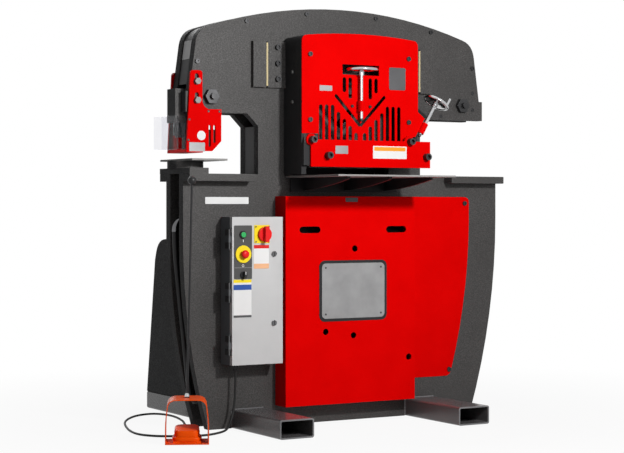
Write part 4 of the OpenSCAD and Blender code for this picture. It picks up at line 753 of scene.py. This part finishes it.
def sheet_run(bm, line, x, t):
    """A bent sheet along a line of (Y, Z) points, from x[0] to x[1]."""
    offset = []
    for i, p in enumerate(line):
        a = line[max(i - 1, 0)]
        b = line[min(i + 1, len(line) - 1)]
        way = Vector((b[0] - a[0], b[1] - a[1])).normalized()
        offset.append((p[0] + way.y * t, p[1] - way.x * t))
    run_along_x(bm, list(line) + offset[::-1], x)


hood = bmesh.new()
hood_line = [
    (REAR_Y + HOOD_T, HOOD_TOP + HOOD_LIP), (REAR_Y + HOOD_T, HOOD_TOP), (HOOD_BACK - HOOD_LIP, HOOD_TOP),
    (HOOD_BACK - HOOD_BEND, HOOD_TOP - HOOD_BEND), (HOOD_BACK, HOOD_TOP - HOOD_LIP), (HOOD_BACK, HOOD_FOOT)]
sheet_run(hood, hood_line, HOOD_X, HOOD_T)
cheek = [(REAR_Y, HOOD_FOOT), (REAR_Y, HOOD_TOP - HOOD_T)]
cheek += [(y - CHEEK_GAP, z - HOOD_T) for y, z in hood_line[2:5]] + [(HOOD_BACK - CHEEK_GAP, HOOD_FOOT)]
for x in ((HOOD_X[0], HOOD_X[0] + HOOD_T), (HOOD_X[1] - HOOD_T, HOOD_X[1])):
    run_along_x(hood, cheek, x)
bevel_edges(hood, 0.5 * MM, 2)
add_piece("rear_hood", hood, "frame", "black_paint")
heads("rear_hood_screws", button_rings(6, 4, 2.6), [
    (x, REAR_Y + HOOD_T, HOOD_TOP + 12) for x in (-215, -50, 92, 257)], "frame", "dark_steel", facing=TO_BACK)
welds = bmesh.new()
TUBE_SPANS, TUBE_H, TUBE_ROUND = ((-519.7, -367.3), (319.3, 471.7)), 76.2, 6
for low, high in TUBE_SPANS:
    for y in (-PLATE_Y, PLATE_Y):
        runs = (
            (low, 2, low, 70), (low + TUBE_ROUND, TUBE_H, high - TUBE_ROUND, TUBE_H), (high, 70, high, 2))
        for x0, z0, x1, z1 in runs:
            count = int(max(abs(x1 - x0), abs(z1 - z0)) / 3)
            bead = [mm(x0 + (x1 - x0) * i / count, y, z0 + (z1 - z0) * i / count) for i in range(count + 1)]
            tube_along(welds, bead, lambda t, n=count: (3.0 + 0.7 * math.cos(math.pi * n * t)) * MM, 10)
add_piece("weld_beads", welds, "frame", "frame_paint", "cut_edge")

# Conduit in the gap between the side plates, turned into the rear plate at both ends
conduit_line = [
    (-690, 40.8, 846), (-690, 34, 846), (-694, 27, 845), (-705, 26, 840), (-716, 26, 828),
    (-722, 26, 808), (-723, 26, 770), (-719, 26, 690), (-708, 26, 580), (-695, 26, 460), (-681, 26, 340),
    (-668, 26, 230), (-660, 26, 165), (-652, 26, 130), (-640, 27, 116), (-630, 33, 112),
    (-628, 40.8, 111)]
CONDUIT_R, ELBOW_R = 11.5, 13.6
conduit = bmesh.new()
tube_along(conduit, smooth_points([mm(*p) for p in conduit_line], 6), CONDUIT_R * MM, 18)
add_piece("conduit", conduit, "frame", "black_plastic")
elbow = bmesh.new()
tube_along(elbow, smooth_points([mm(*p) for p in conduit_line[2:7]], 6)[2:-4], ELBOW_R * MM, 18)
add_piece("conduit_elbow", elbow, "frame", "chrome", "dark_chrome")
heads("conduit_nuts", [(0, hexagon(16)), (5, hexagon(16)), (6, 16), (6.5, 14.6), (8, 14.4), (9, 13)], [
    (-690, 41, 846), (-628, 41, 111)], "frame", "chrome", "zinc")

# Guard over the rear of the angle shear, with a vee slot to pass the angle
VEE_Z, VEE_ARM, VEE_HALF, ANGLE_GUARD_T = 1231, 128, 9, 3
angle_guard_outline = rounded_outline((-196, 196), (1160, 1425), 14)
vee_slot = [
    (0, VEE_Z - VEE_HALF), (VEE_ARM + VEE_HALF, VEE_Z + VEE_ARM), (VEE_ARM, VEE_Z + VEE_ARM + VEE_HALF),
    (0, VEE_Z + VEE_HALF), (-VEE_ARM, VEE_Z + VEE_ARM + VEE_HALF), (-VEE_ARM - VEE_HALF, VEE_Z + VEE_ARM)]
angle_guard = bmesh.new()
guard_edges = []
for outline in (angle_guard_outline, vee_slot):
    loop = [angle_guard.verts.new(mm(x, REAR_Y, z)) for x, z in outline]
    guard_edges += [angle_guard.edges.new((loop[i], loop[(i + 1) % len(loop)])) for i in range(len(loop))]
bmesh.ops.triangle_fill(angle_guard, use_beauty=True, edges=guard_edges)
lifted = bmesh.ops.extrude_face_region(angle_guard, geom=angle_guard.faces[:])["geom"]
bmesh.ops.translate(
    angle_guard, vec=mm(0, ANGLE_GUARD_T, 0), verts=[v for v in lifted if isinstance(v, bmesh.types.BMVert)])
bmesh.ops.recalc_face_normals(angle_guard, faces=angle_guard.faces[:])
bmesh.ops.dissolve_limit(
    angle_guard, angle_limit=math.radians(0.5), use_dissolve_boundaries=False, verts=angle_guard.verts,
    edges=angle_guard.edges, delimit=set())
bevel_edges(angle_guard, 0.6 * MM, 2)
add_piece("rear_angle_guard", angle_guard, "frame", "black_paint")
heads("rear_angle_guard_screws", button_rings(7, 4.5, 3), [
    (x, REAR_Y + ANGLE_GUARD_T, z) for x in (-178, 178) for z in (1180, 1405)], "frame", "dark_steel",
    facing=TO_BACK)

# Small fasteners
heads(
    "bush_screws", cap_rings(6.5, 6, 2.8), [(-40, GUARD_Y, 1312), (46, GUARD_Y, 1312)], "frame", "dark_steel")
heads("stripper_screws", button_rings(5, 3.5, 2.2), [
    (-630, STRIPPER_Y, 1281), (-581, STRIPPER_Y, 1281), (-715, STRIPPER_Y, 1246), (-719, STRIPPER_Y, 1164)],
    "stripper", "dark_steel", "zinc")
heads(
    "housing_side_screws", button_rings(8, 5, 3), [(-278, -152, 1448), (-278, -152, 1326)], "frame",
    "dark_steel", "zinc", facing=TO_LEFT)
heads("flange_screw", button_rings(5, 3.5, 2.2), [(-350, -93, 1531)], "frame", "dark_steel", "zinc")
heads("side_plugs", [(0, 8), (1.2, 7.8), (2, 6.8), (2, hexagon(4)), (1.2, hexagon(3.8))], [
    (675, PLATE_Y, 1397), (675, PLATE_Y, 1324), (507, PLATE_Y, 1293)], "frame", "dark_steel")


# Floor, lights and world
def stage_light(name, at, aim, size, watts):
    data = bpy.data.lights.new(name, "AREA")
    data.shape = "DISK"
    data.size = size
    data.energy = watts
    lamp = bpy.data.objects.new(name, data)
    lamp.location = at
    lamp.rotation_euler = (Vector(aim) - Vector(at)).to_track_quat("-Z", "Y").to_euler()
    SCENE.collection.objects.link(lamp)


def seen_mask(tree):
    """One where a camera, glossy or transmission ray arrives."""
    path = tree.nodes.new("ShaderNodeLightPath")
    total = path.outputs["Is Camera Ray"]
    for name in ("Is Glossy Ray", "Is Transmission Ray"):
        join = tree.nodes.new("ShaderNodeMath")
        join.operation = "MAXIMUM"
        wire(tree, total, join.inputs[0])
        wire(tree, path.outputs[name], join.inputs[1])
        total = join.outputs[0]
    return total


stage_light("key", (0.14, -3.05, 1.98), (-0.6, -0.1, 1.1), 0.25, 82)
stage_light("fill", (-0.5, -3.1, 1.7), (-0.1, 0, 0.8), 0.9, 15)
stage_light("top", (0.4, -0.6, 5.2), (0, 0, 0.5), 3.0, 16)
stage_light("back", (0.3, 4.6, 3.2), (0, 0.3, 0.7), 3.0, 70)

world = bpy.data.worlds.new("studio")
SCENE.world = world
world.use_nodes = True
world_tree = world.node_tree
background = world_tree.nodes["Background"]
background.inputs["Color"].default_value = (1, 1, 1, 1)
AMBIENT, SEEN_WHITE = 0.075, 1.0
strength = spread(world_tree, seen_mask(world_tree), (0.0, 1.0), (AMBIENT, SEEN_WHITE))
wire(world_tree, strength, background.inputs["Strength"])

floor_mesh = bpy.data.meshes.new("floor")
FLOOR_HALF, FLOOR_Z = 14, -0.0005
floor_corners = [
    (x * FLOOR_HALF, y * FLOOR_HALF, FLOOR_Z) for x, y in ((-1, -1), (1, -1), (1, 1), (-1, 1))]
floor_mesh.from_pydata(floor_corners, [], [(0, 1, 2, 3)])
floor_material = bpy.data.materials.new("floor")
floor_material.use_nodes = True
floor_tree = floor_material.node_tree
floor_shader = floor_tree.nodes["Principled BSDF"]
floor_shader.inputs["Specular IOR Level"].default_value = 0.0
floor_shader.inputs["Roughness"].default_value = 0.9
floor_tone = spread(floor_tree, noise(floor_tree, 3.0, 3.0), (0.3, 0.7), (0.0, 1.0))
floor_colour = blend_colour(floor_tree, floor_tone, (0.50, 0.50, 0.50), (0.53, 0.53, 0.53))
wire(floor_tree, floor_colour, floor_shader.inputs["Base Color"])
floor_glow = floor_tree.nodes.new("ShaderNodeEmission")
floor_glow.inputs["Color"].default_value = (1, 1, 1, 1)
floor_mix = floor_tree.nodes.new("ShaderNodeMixShader")
floor_place = floor_tree.nodes.new("ShaderNodeTexCoord")
floor_reach = floor_tree.nodes.new("ShaderNodeVectorMath")
floor_reach.operation = "LENGTH"
wire(floor_tree, floor_place.outputs["Object"], floor_reach.inputs[0])
floor_white = spread(floor_tree, floor_reach.outputs["Value"], (0.9, 2.6), (0.92, 1.0))
wire(floor_tree, times(floor_tree, seen_mask(floor_tree), floor_white), floor_mix.inputs[0])
wire(floor_tree, floor_shader.outputs[0], floor_mix.inputs[1])
wire(floor_tree, floor_glow.outputs[0], floor_mix.inputs[2])
wire(floor_tree, floor_mix.outputs[0], floor_tree.nodes["Material Output"].inputs["Surface"])
floor_mesh.materials.append(floor_material)
floor = bpy.data.objects.new("floor", floor_mesh)
SCENE.collection.objects.link(floor)
